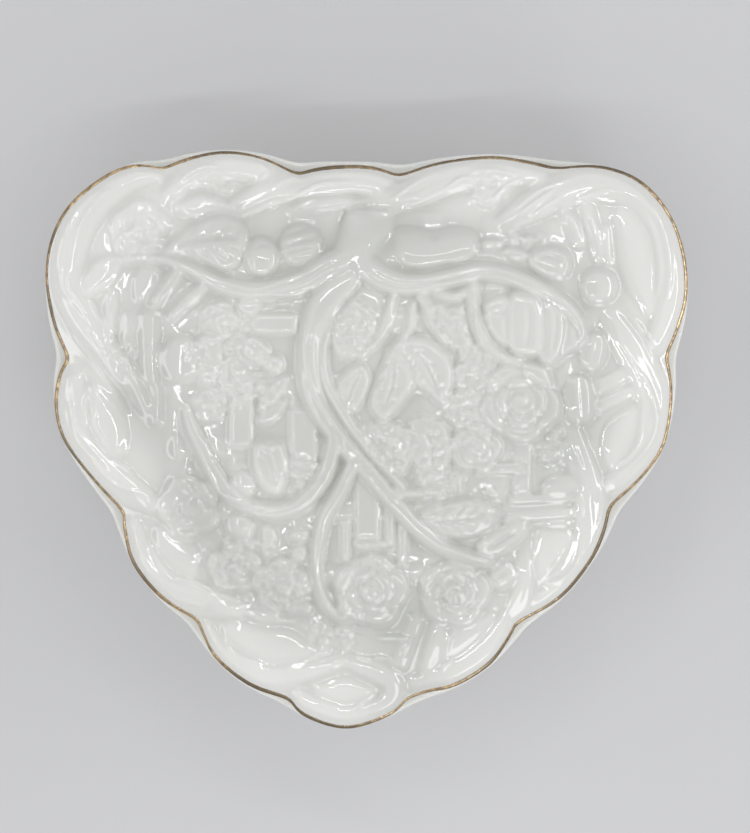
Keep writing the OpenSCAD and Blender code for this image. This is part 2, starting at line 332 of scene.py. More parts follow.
# Thin ridges that the modeller's tool left along the border's twigs.
LINES = [
    [(-60.9, 35.9), (-60.7, 30.9), (-59.3, 28.3), (-57.3, 26.1)],
    [(-59.5, 35.5), (-59.3, 30.9), (-57.7, 27.3), (-54.3, 22.7)],
    [(-60.5, 24.3), (-57.9, 19.9), (-54.3, 15.5), (-50.3, 10.3), (-48.3, 8.5)],
    [(-55.3, 22.9), (-53.3, 19.5), (-51.3, 16.7)], [(-51.3, 27.9), (-51.1, 21.9), (-51.3, 16.7)],
    [(-58.3, 37.9), (-56.3, 43.9), (-52.3, 48.9), (-47.3, 51.5)],
    [(-60.1, 41.5), (-57.3, 46.9), (-53.3, 49.9)],
    [(-58.7, 12.7), (-59.1, 7.9), (-58.1, 1.9), (-56.7, -1.1), (-53.3, -4.5), (-50.3, -7.7)],
    [(-57.7, 13.5), (-58.1, 7.9), (-57.3, 2.9), (-54.7, -0.1)],
    [(-55.3, 10.3), (-55.7, 5.9), (-54.9, 1.9)],
    [(-54.3, 7.9), (-53.9, 2.9), (-52.1, -0.5), (-50.9, -3.3)],
    [(-56.3, -2.1), (-53.3, -5.7), (-49.7, -9.1), (-43.3, -10.5)],
    [(-50.9, -3.5), (-48.3, -5.1), (-45.7, -7.1)],
    [(-42.9, -18.5), (-42.7, -21.1), (-41.3, -24.1), (-39.7, -26.1), (-37.3, -27.7)],
    [(-41.3, -25.7), (-38.3, -27.7), (-34.3, -28.5), (-30.7, -29.7)],
    [(-39.7, -30.9), (-36.3, -32.1), (-31.7, -33.1)],
    [(-46.1, -16.1), (-45.7, -20.1), (-44.1, -24.1)],
    [(-28.9, -37.1), (-27.7, -40.1), (-24.9, -43.1), (-19.3, -44.7)],
    [(-12.3, -43.7), (-9.7, -42.5), (-6.3, -42.1)], [(-9.7, -51.5), (-7.7, -52.7), (-5.3, -53.3)],
    [(-2.9, -53.3), (-0.3, -51.7), (2.3, -50.1)], [(0.7, -42.9), (3.7, -43.3), (5.3, -44.5)],
    [(14.3, -46.3), (16.3, -44.1), (17.7, -43.1)], [(6.3, -44.1), (8.3, -41.1), (9.3, -37.1)],
    [(15.7, -43.1), (16.3, -40.1), (17.7, -37.1)],
    [(34.7, -28.1), (36.7, -28.5), (39.7, -27.1), (42.1, -24.1), (42.7, -19.1)],
    [(34.9, -27.7), (36.7, -25.7), (38.3, -23.7), (39.1, -21.1)], [(33.9, -30.9), (35.7, -29.7)],
    [(41.7, -8.1), (42.5, -12.1), (42.9, -16.7)],
    [(46.1, -7.1), (47.1, -12.1), (46.7, -18.1), (45.1, -23.1)],
    [(39.1, 1.9), (41.1, -2.1), (43.1, -7.1)],
    [(48.1, -7.1), (51.7, -5.7), (55.7, -1.7), (57.7, 2.9), (57.1, 7.9), (54.7, 12.9),
     (52.1, 15.9)],
    [(48.7, -5.7), (52.3, -3.1), (54.3, 0.3), (54.7, 6.9)],
    [(48.3, 21.9), (51.1, 17.9), (53.7, 13.5), (55.1, 8.9)],
    [(50.7, 26.3), (54.1, 21.9), (56.7, 17.5), (58.3, 12.9)],
    [(51.9, 25.5), (55.7, 20.9), (58.1, 17.5)],
    [(55.7, 47.9), (58.7, 42.9), (60.3, 35.9), (60.1, 29.9), (58.3, 24.9)],
    [(53.3, 46.9), (56.7, 42.3), (58.1, 36.9), (58.1, 30.9), (56.7, 25.9)],
    [(28.3, 44.5), (32.7, 48.5), (36.3, 50.5), (41.7, 52.3)],
    [(28.9, 43.9), (33.7, 47.5), (38.7, 50.9)], [(31.3, 42.9), (35.7, 46.5), (39.7, 48.9)],
    [(40.7, 46.9), (46.7, 49.5), (51.7, 48.7)], [(43.3, 46.3), (45.3, 41.9), (46.7, 36.9)],
    [(42.7, 45.3), (44.5, 40.9), (46.1, 36.7)], [(38.7, 45.3), (40.7, 42.9), (42.3, 40.5)],
    [(39.7, 45.5), (41.7, 43.3), (42.9, 40.9)],
    [(2.7, 47.5), (5.7, 48.3), (9.7, 51.3), (15.1, 53.9)],
    [(8.3, 45.9), (11.7, 47.9), (15.7, 49.9), (18.7, 51.9), (22.7, 52.5)],
    [(20.1, 49.5), (22.7, 47.5), (24.3, 45.5)], [(24.7, 47.3), (27.7, 50.5), (31.7, 52.3)],
    [(19.1, 53.1), (24.7, 53.7), (30.7, 52.5)],
    [(-19.3, 49.5), (-16.3, 51.7), (-12.3, 53.3), (-6.3, 53.9)],
    [(-16.7, 46.5), (-13.3, 48.9), (-8.9, 50.9), (-1.9, 51.1)],
    [(-14.7, 45.5), (-11.9, 47.3), (-9.3, 48.3)],
    [(-40.3, 51.7), (-38.1, 54.3), (-35.3, 55.9), (-31.3, 56.7), (-25.3, 56.7)],
    [(-38.1, 49.9), (-35.7, 52.7), (-32.3, 54.3), (-28.1, 54.5)],
    [(-35.3, 50.5), (-31.3, 50.5), (-28.3, 49.9)], [(-22.3, 55.9), (-19.7, 53.5), (-21.7, 51.5)],
    [(-28.3, 30.9), (-21.3, 29.5), (-15.3, 31.9), (-9.7, 33.5)],
    [(-20.9, 28.7), (-15.3, 28.3), (-12.3, 28.7), (-10.9, 30.9)],
    [(12.7, 30.5), (16.7, 30.9), (20.7, 31.9)], [(22.7, 32.7), (28.7, 31.3), (35.7, 27.9)],
    [(-7.7, 26.4), (-10, 23.4), (-11.5, 20.5), (-11.8, 15.2), (-10.6, 10.5), (-7.7, 5.2),
     (-3.5, -0.1), (1.2, -5.4), (5.9, -10.9), (11.5, -17)],
    [(-8.8, 24.6), (-10.3, 21.1), (-10.3, 15.2), (-9.4, 11.1), (-7.1, 6.4)],
    [(-2.4, 1.7), (1.1, -3.0), (5.3, -7.2), (8.6, -10.1)],
    [(-32.9, -1.9), (-31.2, -6.5), (-28.9, -10.1), (-24.7, -12.2), (-20, -13.2), (-15.3, -13),
     (-13, -11.7), (-10.8, -8.9)],
    [(-24.5, -13.4), (-20, -14.6), (-15.2, -14), (-11.3, -12)],
    [(-27.2, 8.3), (-23, 8.3), (-22.6, 3.5)], [(-21.5, -0.3), (-19.1, -1.5), (-17.1, -0.4)],
    [(5.9, 26.4), (4.1, 21.7), (0, 16.8)], [(9.1, 24.6), (8.2, 21.1), (4.9, 17.3)],
    [(11, 28), (12.7, 23.1), (15.8, 19)], [(21.4, 28), (21.9, 22.8), (25.3, 17.5), (30.9, 15)],
    [(-8.4, -17), (-9.3, -22), (-9.2, -28), (-6.5, -33.6)],
    [(13.9, -20.1), (20, -22.7), (25.7, -24.1)],
]

# Where the modelling is loose and crumpled: x, y, reach.
CRUMPLED = [(-24, 19, 5), (-31, 17, 4), (-3, 20, 5), (17, 22, 5), (21, 13, 5), (19.5, 6, 5),
            (12, -2, 6), (3, -1, 6), (22, 24, 3), (-12.5, -6, 4), (-28, 8, 4), (-21, 10, 4),
            (-27, -25, 6), (-17, -29, 6), (-45, 40, 5), (17, -30, 5), (-21, -14, 3), (14, -9, 5),
            (-6, -38, 6), (24, -13, 4), (-48, 17, 3), (36, -2, 4), (0.5, -24, 3.5), (23, 50, 4),
            (-30, 50.5, 3.5)]


def crumpled(x, y):
    """How loose and crumpled the modelling is at x, y: 0 to 1."""
    near = (np.exp(-(((x - u)**2 + (y - v)**2) / reach**2)**2) for u, v, reach in CRUMPLED)
    return np.minimum(sum(near), 1)


def lid_relief():
    """The relief of the lid, in the order in which its motifs lie over each other."""
    r = Relief(*LID_FIELD, 134, 120)
    # the trellis behind everything
    for k, x in enumerate((-37.1, -24.7, -12.3, 0.3, 13.1, 25.5, 37.9)):
        r.slat(x, 44 - abs(k - 3), x, -36 + 7 * abs(k - 3), 2.5, 0.4, sink=0.15)
    for k, y in enumerate((36, 23.3, 10.9, -1.5, -13.9, -26.3)):
        reach = (44, 46, 46, 42, 36, 28)[k]
        for x in range(-45, 46, 6):
            if abs(x) < reach and (x // 6 + k) % 2:
                r.slat(x - 4.6, y, x + 4.6, y, 1.9, 0.5, sink=0.2)
    r.h = blurred(r.h, 0.4)
    # smooth panels between the border and the field
    r.plate([(49.5, 46.5), (53.7, 46.5), (56.3, 42.3), (57.7, 35.9), (57.7, 27.9), (56.7, 24),
             (53.7, 27.5), (50.7, 32.5), (49.5, 39.9)], 0.75, 1.6)
    r.plate([(46.7, 0.9), (47.7, 3.3), (51.1, 6), (54.3, 7.3), (54.9, 1.9), (53.3, -3),
             (48.7, -6.2), (46.7, -2.1)], 0.75, 1.6)
    r.plate([(33.3, -19), (36.3, -17.9), (41.3, -18.3), (42.3, -21.7), (40.3, -27.3), (36, -30.9),
             (33.3, -31.5)], 0.75, 1.6)
    r.plate([(-55, 11.5), (-49.3, 5.9), (-47.5, 1.3), (-49.1, -3.5), (-52.9, -1.5), (-55.3, 4)],
            0.75, 1.6)
    r.plate([(-41.9, -17.3), (-37.3, -18.3), (-33.5, -21.5), (-33.9, -27.1), (-37.5, -28.3),
             (-42, -23)], 0.75, 1.6)
    r.plate([(-29, -36.5), (-17, -37), (-12, -39.5), (-7, -41.5), (-12, -44.3), (-20, -45.5),
             (-26, -42)], 0.6, 2)
    r.plate([(14, -37), (20, -34.9), (25.5, -34.5), (25.5, -38.5), (20, -43), (14, -45.5),
             (11, -43)], 0.6, 2)
    r.plate([(-11.5, -49), (-8, -48.2), (-4.3, -47), (-0.5, -48.2), (2.3, -49.7), (-1, -51.9),
             (-4.3, -52.7), (-8.3, -51.7)], 0.7, 1.2)
    r.plate([(20, 52.3), (31, 52.3), (27, 48.3), (24.3, 46.3), (21.5, 48.5)], 0.6, 1.2)
    # slats that show between the motifs
    for x0, y0, x1, y1, half in [
            (-42.8, 23.5, -42.8, 18.6, 2.1), (-42.8, 17.2, -42.8, 11, 2.1),
            (-41.5, 9.6, -41.5, 4, 1.4), (-24.7, 8.9, -24.7, 0.9, 2.5),
            (-12.3, 3.5, -12.3, -4.5, 2.8), (0.2, -9.5, 0.2, -19.3, 2.5), (4.6, -12.5, 4.6, -20, 1),
            (7.1, -17, 7.1, -24, 1), (-4.1, -16.5, -4.1, -23, 0.9), (30.7, -0.5, 30.7, -9, 2),
            (39.1, 46.3, 41.7, 39.9, 1.4), (43.7, 46.9, 46.3, 36.9, 1.5), (47.6, 42, 48, 35.5, 0.9),
            (45.3, 10.1, 53.5, 14.3, 1.7), (46.5, 6.9, 54, 10.3, 1.5), (9.7, -36.1, 6.9, -44, 1.7),
            (14.3, -36.5, 12, -45, 1.3), (-28.1, 15, -28.1, 8, 0.9)]:
        r.slat(x0, y0, x1, y1, half, 0.9, sink=0.35)
    for x0, y0, x1, y1, half in [
            (22.7, -5.5, 29.5, -5.5, 1.3), (29.1, -11.7, 42.9, -11.2, 1.1),
            (28, -15.4, 42.3, -14.2, 1.2), (-1.7, -20.3, 2.9, -20.3, 0.9),
            (3, -39.3, 8, -39.3, 0.7), (-15.3, -4.8, -9.9, -4.8, 0.7),
            (-20.5, 22.9, -15.5, 22.9, 2.1), (35, -3.3, 39.5, -3, 1.2)]:
        r.slat(x0, y0, x1, y1, half, 1.0, sink=0.35)
    # ragged leaves of the background
    for points in [
            [(-6, 25.5), (-2.3, 27.3), (1, 25.5), (2, 21.3), (0, 17.3), (-3, 15.7), (-6.3, 17.5),
             (-7, 21.5)],
            [(11.3, 26.3), (14.5, 26.9), (18.3, 23.5), (20.7, 19.7), (19.3, 17.1), (16, 18.7),
             (12.9, 21.7)],
            [(16.9, 14.3), (21, 16.1), (25.3, 15.5), (26.5, 12.1), (22, 9.7), (18, 10.3)],
            [(15.1, 8.7), (19, 10.1), (23.3, 8.9), (23.7, 4.9), (20.5, 2.3), (16.1, 3.7)],
            [(8.3, 3.1), (12.1, 4.9), (15.9, 2.5), (16.7, -3), (14.3, -8.3), (10.9, -8.9),
             (8.9, -4.5)],
            [(-2.3, 2.3), (2.9, 3.7), (7.3, 3), (9.1, -0.9), (8.5, -5.1), (5.1, -7.3), (1.7, -4.5),
             (-1.5, -1)]]:
        r.plate(points, 0.95, 1.1, jag=0.42, sink=0.3)
    for points in [
            [(-5.5, 18), (-2.3, 21.5), (0.3, 25.5)], [(12.7, 25.3), (15.9, 22.5), (19.3, 18.7)],
            [(18, 12.3), (21.5, 12.9), (25.3, 13.5)], [(16.5, 6.3), (19.9, 6.5), (23, 6.7)],
            [(10.3, 3.9), (12.9, -1.5), (12.7, -7.9)], [(-0.7, 1), (3.7, -0.7), (6.9, -5.3)]]:
        (x0, y0), (x1, y1), (x2, y2) = points
        r.score(points, 0.5, 0.35, again=False)
        for t in (0.2, 0.4, 0.6, 0.8):
            x, y = x0 + (x2 - x0) * t, y0 + (y2 - y0) * t
            dx, dy = (x2 - x0) * 0.28, (y2 - y0) * 0.28
            r.score([(x, y), (x + 0.4 * dx - 0.8 * dy, y + 0.4 * dy + 0.8 * dx)], 0.45, 0.35,
                    again=False)
            r.score([(x, y), (x + 0.4 * dx + 0.8 * dy, y + 0.4 * dy - 0.8 * dx)], 0.45, 0.35,
                    again=False)
    for points, size, count in [
            ([(-1, 29), (-4.5, 26), (-6.5, 22.5)], 2.6, 3),
            ([(19, 27), (17.5, 24), (19.5, 21)], 2.4, 3),
            ([(25.5, 17.5), (22.5, 17), (18.5, 16.5)], 2.4, 3),
            ([(24.5, 4.5), (22, 3), (17, 1.5)], 2.4, 3),
            ([(-4, 3.5), (-3, -0.5), (0.3, -4)], 2.0, 3),
            ([(19.5, -6.5), (16, -9), (10, -10.3)], 2.4, 4),
            ([(-26, 14), (-24, 11), (-20, 9.5)], 2.4, 3),
            ([(-24, 26.5), (-21.5, 27), (-17.5, 27)], 1.8, 3),
            ([(-17, -4), (-14, -6.5), (-12.5, -10)], 2.0, 3),
            ([(-13, -37), (-7, -38.5), (-1, -38)], 2.4, 4),
            ([(-30, -22), (-24, -20), (-18, -21)], 2.2, 3),
            ([(36, 3), (38, -1), (40.5, -5)], 2.2, 3),
            ([(27, 41.5), (32, 39.5), (36, 40.5)], 2.0, 3)]:
        r.frond(points, size, 0.8, count, half=1.0)
    # the border's twigs, the first one again last, so that it lies over the twelfth
    for k, points in enumerate(BORDER):
        big = max(p[2] for p in points) > 3.6
        r.strand(points, 1.2, lanes=3 if big else 2, taper=(5, 2.5), sink=0.35, ride=0.3,
                 groove=0.26, broad=0.1, twist=0.012, blend=0.4)
    r.strand(BORDER[0][:6], 1.2, lanes=3, taper=(5, 12), sink=0.35, ride=0.15, groove=0.26,
             twist=0.012, blend=0.4)
    # upper left
    r.strand([(-50.5, 29.5, 1), (-50.9, 24, 1.6), (-51.7, 18.5, 0.9)], 0.8, ride=0.2)
    r.leaf([(-49.5, 35.9), (-53, 32.8), (-56, 28.3)], 2.9, 1.1)
    r.plate([(-44.9, 34.3), (-41.5, 34.5), (-40.9, 31.5), (-43, 28.3), (-45.7, 27), (-46.4, 31)],
            0.7, 1)
    r.rose(-45, 41.9, 6.2, 1.25, turn=15)
    r.leaf([(-48.5, 35.7), (-44.5, 37.4), (-40.3, 39.3)], 1.9, 1.3)
    r.plate([(-38.3, 46.3), (-35.3, 48.5), (-31.3, 49.1), (-27.7, 47.5), (-25.3, 45.1),
             (-30.3, 44.9), (-34.7, 43.9)], 1.1, 1.3)
    r.plate([(-41.3, 36.3), (-37.7, 40.5), (-33.3, 43.5), (-28.3, 44.9), (-24.3, 43.3),
             (-22.9, 39.9), (-24.5, 35.5), (-27.9, 33.3), (-32.3, 35), (-36.5, 36.2)], 1.4, 2.2)
    r.score([(-40, 37), (-34, 39.2), (-28, 39.9), (-24, 39.5)], 0.45)
    for x in (-36, -33, -30, -27):
        r.score([(x, 38.8), (x + 1.4, 41), (x + 3, 43.6)], 0.2, 0.35)
        r.score([(x, 38.3), (x + 1.6, 36.6), (x + 3.2, 35)], 0.2, 0.35)
    r.bud(-12.9, 38.5, 4.4, 4.5, 1.4, 15, petals=4)
    r.bud(-20.7, 36.1, 3.4, 4.1, 1.8, 0)
    r.score([(-22, 37.5), (-20.5, 38.6), (-18.8, 37.6)], 0.25)
    # upper right
    r.plate([(5.1, 41.3), (8.5, 42.3), (12.7, 41.6), (17.7, 42.1), (21.3, 41.3), (22.3, 38.3),
             (20.5, 35.7), (14.7, 34.3), (8.7, 33.9), (5.5, 36.3)], 1.4, 3.2)
    r.score([(12.9, 41.9), (13.5, 40.5), (13.1, 38.9)], 0.35, 0.7, again=False)
    r.score([(7, 36.9), (12, 35.9), (18, 37)], -0.12, 0.5, again=False)
    r.bud(24.7, 38.9, 2.2, 1.1, 0.9)
    r.bud(29.5, 36.9, 2.8, 1.4, 0.9, -15)
    r.plate([(32.3, 37.2), (35.7, 38.5), (39.3, 37.9), (40.7, 34.9), (39.3, 31.9), (35.7, 31.9),
             (32.5, 34)], 1.6, 2.4)
    r.score([(33, 35.5), (36, 36.4), (38.7, 35.1), (38.5, 32.5)], 0.35, 0.4)
    # left field
    r.rose(-28.9, 23.7, 3.9, 1.3, turn=70)
    r.plate([(-25.3, 27.5), (-22, 28.1), (-20.5, 26.7), (-22.3, 24.5), (-24.9, 25.3)], 1.1, 1)
    r.bud(-36.3, 15.9, 4.7, 4.8, 1.6, 10, power=0.4)
    r.plate([(-33.5, 19.9), (-31, 21), (-28.7, 19.3), (-28.5, 15), (-30.3, 11.3), (-32.9, 11.3),
             (-33.1, 15.5)], 1.1, 1)
    for y in (18.8, 16.6, 14.4, 12.6):
        r.score([(-33, y - 1), (-31.2, y), (-29.4, y - 0.6)], 0.35, 0.25)
    r.bud(-21.9, 17.3, 3.8, 2.9, 1.5, -35, petals=2)
    r.bud(-18.1, 14.9, 2.2, 2.1, 1.4)
    r.rose(-30.7, 6.9, 3.7, 1.3, turn=20)
    r.leaf([(-20.7, 6), (-18.3, 9.3), (-15.1, 12.9)], 1.9, 1.2, saw=0.25)
    r.leaf([(-21.3, 3.6), (-18.4, 5.3), (-15.3, 8.2)], 1.4, 1.0)
    r.plate([(-22.3, -0.5), (-19, 0.4), (-16.3, -0.9), (-15.3, -5), (-16.3, -10), (-18.9, -10.7),
             (-21.7, -8), (-22.7, -4)], 1.7, 2.0)
    r.score([(-20.5, -0.8), (-18.7, -4.5), (-17.5, -9.5)], 0.4, 0.35)
    r.score([(-21.7, -2.6), (-19.9, -4.6), (-19.2, -8)], 0.25)
    r.bud(-24.3, -8.7, 2.6, 3.0, 1.2, 20)
    r.bud(-37.3, -1.3, 1.4, 2.9, 0.8)
    # the loop's roses
    r.rose(-35.3, -13.3, 6.6, 1.8, turn=40)
    r.bud(-25.1, -16.9, 3.2, 2.6, 1.3)
    r.leaf([(-20, -17), (-19.2, -19.5), (-20.5, -22)], 1.5, 0.9)
    r.rose(-26.3, -25.3, 5.7, 1.6, turn=100, squash=0.82, tilt=-10)
    r.rose(-16.5, -28.9, 6.5, 1.8, turn=-30, squash=0.86, tilt=-25)
    r.bud(-13.3, -18.7, 2.3, 1.5, 1.4)
    r.bud(-13.3, -22.3, 1.9, 2.0, 1.4)
    r.bud(-11.9, -33.3, 1.5, 1.4, 1.2)
    r.leaf([(-24, -34.3), (-19, -35.3), (-13.5, -35.9)], 1.3, 1.0)
    # middle leaves and their stalks
    r.strand([(6, 30.5, 0.8), (4.3, 24.9, 1), (2.3, 19.9, 1), (-1.3, 16, 0.7)], 1.2, ride=0.5)
    r.strand([(9.3, 27.5, 0.8), (8.1, 21.5, 0.9), (4.9, 17.3, 0.7)], 1.2, ride=0.5)
    r.strand([(9.7, 30.5, 1.1), (11.7, 26.7, 1.1), (12.9, 22.9, 1), (16, 18.7, 0.7)], 1.2, ride=0.5)
    r.strand([(12.3, 29.5, 0.8), (17.7, 28.3, 1.1), (21.3, 31.3, 0.8)], 1.1, ride=0.4)
    r.plate([(-0.1, 14.7), (0.9, 10.9), (-1.5, 6), (-4.3, 5.4), (-5.9, 8.7), (-5.1, 12.5),
             (-2.5, 14.7)], 1.5, 1.8)
    r.score([(-0.5, 14.3), (-2.7, 10.3), (-3.9, 6.3)], 0.4)
    for y in (12.4, 10.2, 8.2):
        r.score([(-1.9 - (12.4 - y) * 0.2, y), (-3.4, y + 0.9), (-4.9, y + 0.8)], 0.22, 0.25)
    r.plate([(6, 18.9), (9.7, 20.5), (13.7, 19.1), (16.5, 15.9), (17.1, 11.9), (15.9, 8),
             (14.3, 6.9), (11.5, 9.3), (8.9, 10.9), (6.7, 14.5)], 1.7, 2.2)
    r.score([(7.3, 19), (11.3, 15.3), (14.7, 7.9)], 0.45, 0.35)
    for k in range(4):
        x, y = 9.3 + 1.35 * k, 16.9 - 2.3 * k
        r.score([(x, y), (x + 1.9, y + 0.5), (x + 3.4, y - 0.3)], 0.25, 0.28)
        r.score([(x, y), (x - 0.9, y - 1.6), (x - 1.2, y - 3)], 0.25, 0.28)
    r.plate([(5.1, 18.3), (8.3, 15.5), (9.5, 10.9), (7, 6.7), (3.7, 3.5), (1.5, 4.7), (0.5, 8.1),
             (1.9, 12.1), (3.3, 15.5)], 2.0, 2.2)
    r.score([(5.3, 17.8), (5.3, 11.5), (3, 4.7)], 0.45, 0.35)
    for k in range(4):
        x, y = 5.3 - 0.5 * k, 14.7 - 2.6 * k
        r.score([(x, y), (x + 1.5, y + 0.9), (x + 3, y + 0.3)], 0.25, 0.28)
        r.score([(x, y), (x - 1.4, y + 0.2), (x - 2.7, y - 1)], 0.25, 0.28)
    # right field
    r.plate([(38.5, 28.5), (41.7, 26.5), (43.5, 22.3), (42.7, 18.3), (39.7, 16.9), (37, 14.5),
             (37.5, 22)], 1.4, 1.8)
    r.plate([(23.1, 26.9), (26.7, 28.7), (28.7, 26.5), (28.7, 18.7), (25.5, 19.3), (23.3, 22.9)],
            1.4, 1.7)
    r.score([(24.1, 24.9), (26, 25.1), (28.2, 24.3)], 0.35, 0.4)
    r.plate([(34.1, 28.3), (37.1, 28.7), (39.5, 25.7), (39.1, 18.7), (36.5, 14.5), (33.7, 16.7)],
            1.8, 1.9)
    r.plate([(27.9, 28.3), (31.7, 29.3), (34.7, 27.5), (34.9, 18), (31, 16.3), (27.9, 18.3)],
            1.9, 2.0)
    r.score([(31.5, 27.5), (31.9, 22.5), (31.1, 17.7)], 0.25, 0.4)
    r.score([(37, 27.3), (37.3, 22.3), (36.3, 16.3)], 0.25, 0.4)
    r.strand([(20.9, 31.5, 1.1), (21.1, 25.3, 1.2), (23.1, 19.7, 1.3), (26.9, 16.1, 1.3),
              (31.9, 14.5, 1.1), (36.3, 13.3, 0.8)], 1.4)
    r.bud(44.9, 17.5, 4.2, 2.9, 1.4, 80, petals=3)
    r.bud(42.1, 8, 5.1, 3.6, 1.5, 95, petals=3)
    r.bud(38.3, -9.1, 4, 2.6, 1.1, 10)
    r.rose(21.5, -1.5, 5.3, 1.6, turn=10, squash=0.88)
    r.rose(30.3, 7.5, 8.2, 2.2, turn=60)
    r.plate([(10.1, -14.3), (14.7, -12.5), (19.7, -11.3), (24.3, -11.5), (26.5, -14.1),
             (25.5, -17.3), (21.7, -19), (16.7, -19.5), (12.9, -18.5)], 1.5, 2.2)
    r.score([(11.5, -15.5), (16.5, -15.7), (22.5, -15)], 0.4, 0.35)
    for x in (14, 16.5, 19):
        r.score([(x, -15.5), (x + 1.6, -13.9), (x + 3, -12.7)], 0.25, 0.3)
        r.score([(x, -15.9), (x + 1.2, -17.2), (x + 2.2, -18.6)], 0.25, 0.3)
    r.score([(22, -12.6), (24.3, -13.5), (24.3, -16.3)], -0.35, 0.6)
    r.plate([(21.3, -21.3), (23.5, -18.3), (27.7, -16.1), (31.1, -15.7), (32.3, -17.7),
             (29.9, -20.9), (25.7, -23.3), (22.7, -23.7)], 1.4, 1.7)
    r.score([(22.9, -22), (26.5, -19.7), (30.7, -17.3)], 0.4, 0.35)
    r.bud(27, -27.3, 3.1, 2.9, 1.4, 30, petals=2)
    r.rose(17.5, -30.1, 7.4, 2.1, turn=150)
    r.rose(0.9, -29.7, 7.7, 2.1, turn=80)
    # the shaded channel down the left side
    r.score([(-48.3, 31), (-49.3, 24), (-49.7, 17.5), (-46.9, 8), (-44.5, 3)],
            0.9, 1.7, again=False)
    # stems over everything
    r.strand([(-36.3, 34.5, 1), (-39.3, 30.5, 1.7), (-42.5, 26.5, 1.5)], 1.4)
    r.strand([(-30.7, 31.3, 0.9), (-34.9, 27.9, 1.4), (-39.1, 23.7, 1.2)], 1.4)
    r.strand([(-9, 15, 0.8), (-7.6, 8.5, 1.1), (-3.3, 1.4, 1.1), (2, -5, 1.1), (5.8, -9.3, 0.8)],
             0.9, taper=(4, 3), sink=0)
    r.strand([(-4.1, 30.5, 1.4), (-7.5, 23.5, 1.3), (-8.7, 17.5, 1.2), (-7.9, 11.5, 1.2),
              (-4.5, 5.3, 1.2), (-0.3, -0.7, 1.2), (4.3, -6, 1.2), (7.5, -9.7, 1)], 1.5, ride=0.2)
    r.strand([(-15, 45.6, 1), (-11, 46.9, 1.8), (-6.5, 47.5, 1.9), (-2.5, 47.3, 1.2)],
             0.8, taper=(2, 2), blend=0.6)
    r.strand([(1.5, 46.4, 3.2), (0.9, 44.2, 4.9), (-0.5, 41.3, 4.5), (-2.1, 38.2, 4), (-4.4, 33, 4),
              (-8.3, 27, 3.1), (-10.7, 21, 2.4), (-11.3, 15.5, 2.2), (-10.7, 9.5, 2.1),
              (-8.1, 4.1, 2), (-4.1, -1.3, 1.9), (0.9, -7, 1.9), (5.9, -12.7, 1.8),
              (10.5, -17.7, 1.8), (15.5, -21.3, 1.7), (21.5, -23.5, 1.5), (26.5, -24.7, 1.2)],
             1.8, taper=(5, 3), broad=0.25, ride=0.25, flat=0.5)
    r.strand(BORDER[2][2:], 1.3, lanes=2, taper=(6, 5), sink=0.3, ride=0.3, groove=0.22, broad=0.3,
             blend=0.5)
    r.strand([(0.2, 47.1, 1.2), (4.2, 48.2, 2.1), *BORDER[3][2:5]], 1.2, lanes=2, taper=(5, 6),
             sink=0.25, ride=0.3, groove=0.22, broad=0.25, blend=0.6)
    r.strand([(0.5, 38.5, 2), (-3.3, 36.3, 2.8), (-8.3, 33.7, 2.7), (-12.5, 31.1, 2.4),
              (-17.3, 29.8, 2.1), (-23.3, 29.5, 1.9), (-28.9, 30.7, 1.7), (-33.7, 33.3, 1.4),
              (-38.3, 35.3, 1.1), (-43.3, 36, 0.8), (-48.3, 35.5, 0.5)],
             1.8, lanes=2, taper=(9, 2), groove=0.3, broad=0.2, lean=0.1, ride=0.25, blend=0.6)
    r.strand([(-3.3, 38.5, 2), (-0.7, 35, 2.8), (3.1, 32, 2.6), (7.3, 30.7, 2.3), (11.7, 30.9, 2.1),
              (16.7, 32, 2), (22.7, 33.3, 1.9), (28.7, 32.1, 1.8), (34.7, 29.6, 1.7),
              (39.7, 26.1, 1.5), (42.5, 22.3, 1.2), (42.3, 18.7, 0.8)],
             1.8, lanes=2, taper=(8, 2), groove=0.25, broad=0.2, lean=-0.1, ride=0.25, blend=0.6)
    r.strand([(-7.3, 5.5, 1), (-6.5, -0.5, 1.5), (-7.7, -5.7, 1.7), (-9.9, -9.5, 1.7),
              (-13.3, -12.7, 1.7), (-17.5, -14, 1.7), (-22.3, -13.2, 1.7), (-26.9, -10.7, 1.7),
              (-29.9, -6.5, 1.6), (-32.5, -1.7, 1.5), (-34.7, 2.9, 1.3), (-35.9, 7.5, 0.8)],
             1.6, lanes=2, taper=(6, 2), groove=0.25, broad=0.15, blend=0.5)
    r.strand([(-2.3, -1.5, 1), (-3.3, -6.1, 1.4), (-5.3, -10.3, 1.5), (-8.1, -15.1, 1.5),
              (-9.5, -21.1, 1.4), (-9.7, -26.3, 1.3), (-8.7, -31.1, 1.3), (-6.3, -34.3, 1.1),
              (-3.3, -36.1, 0.8)], 1.5, taper=(5, 2), broad=0.15, blend=0.5)
    r.strand([(3.5, -9.5, 1), (6.5, -10.3, 1.1), (9.7, -10.3, 1), (13.5, -9.9, 0.7)],
             1.1, taper=(3, 2), blend=0.4)
    r.bud(46.1, 30.5, 3.9, 3.9, 2.0)
    # the glaze lies thicker on the border and along the left side, and softens what is under it
    outer = (r.x < -31) | (r.y < -34) | (np.hypot(r.x / 1.05, r.y - 6) > 47)
    soft = np.clip(blurred(outer * 1.0, 3), 0, 1)
    r.h = 0.82 * (blurred(r.h, 0.3) * (1 - soft) + blurred(r.h, 0.55) * soft)
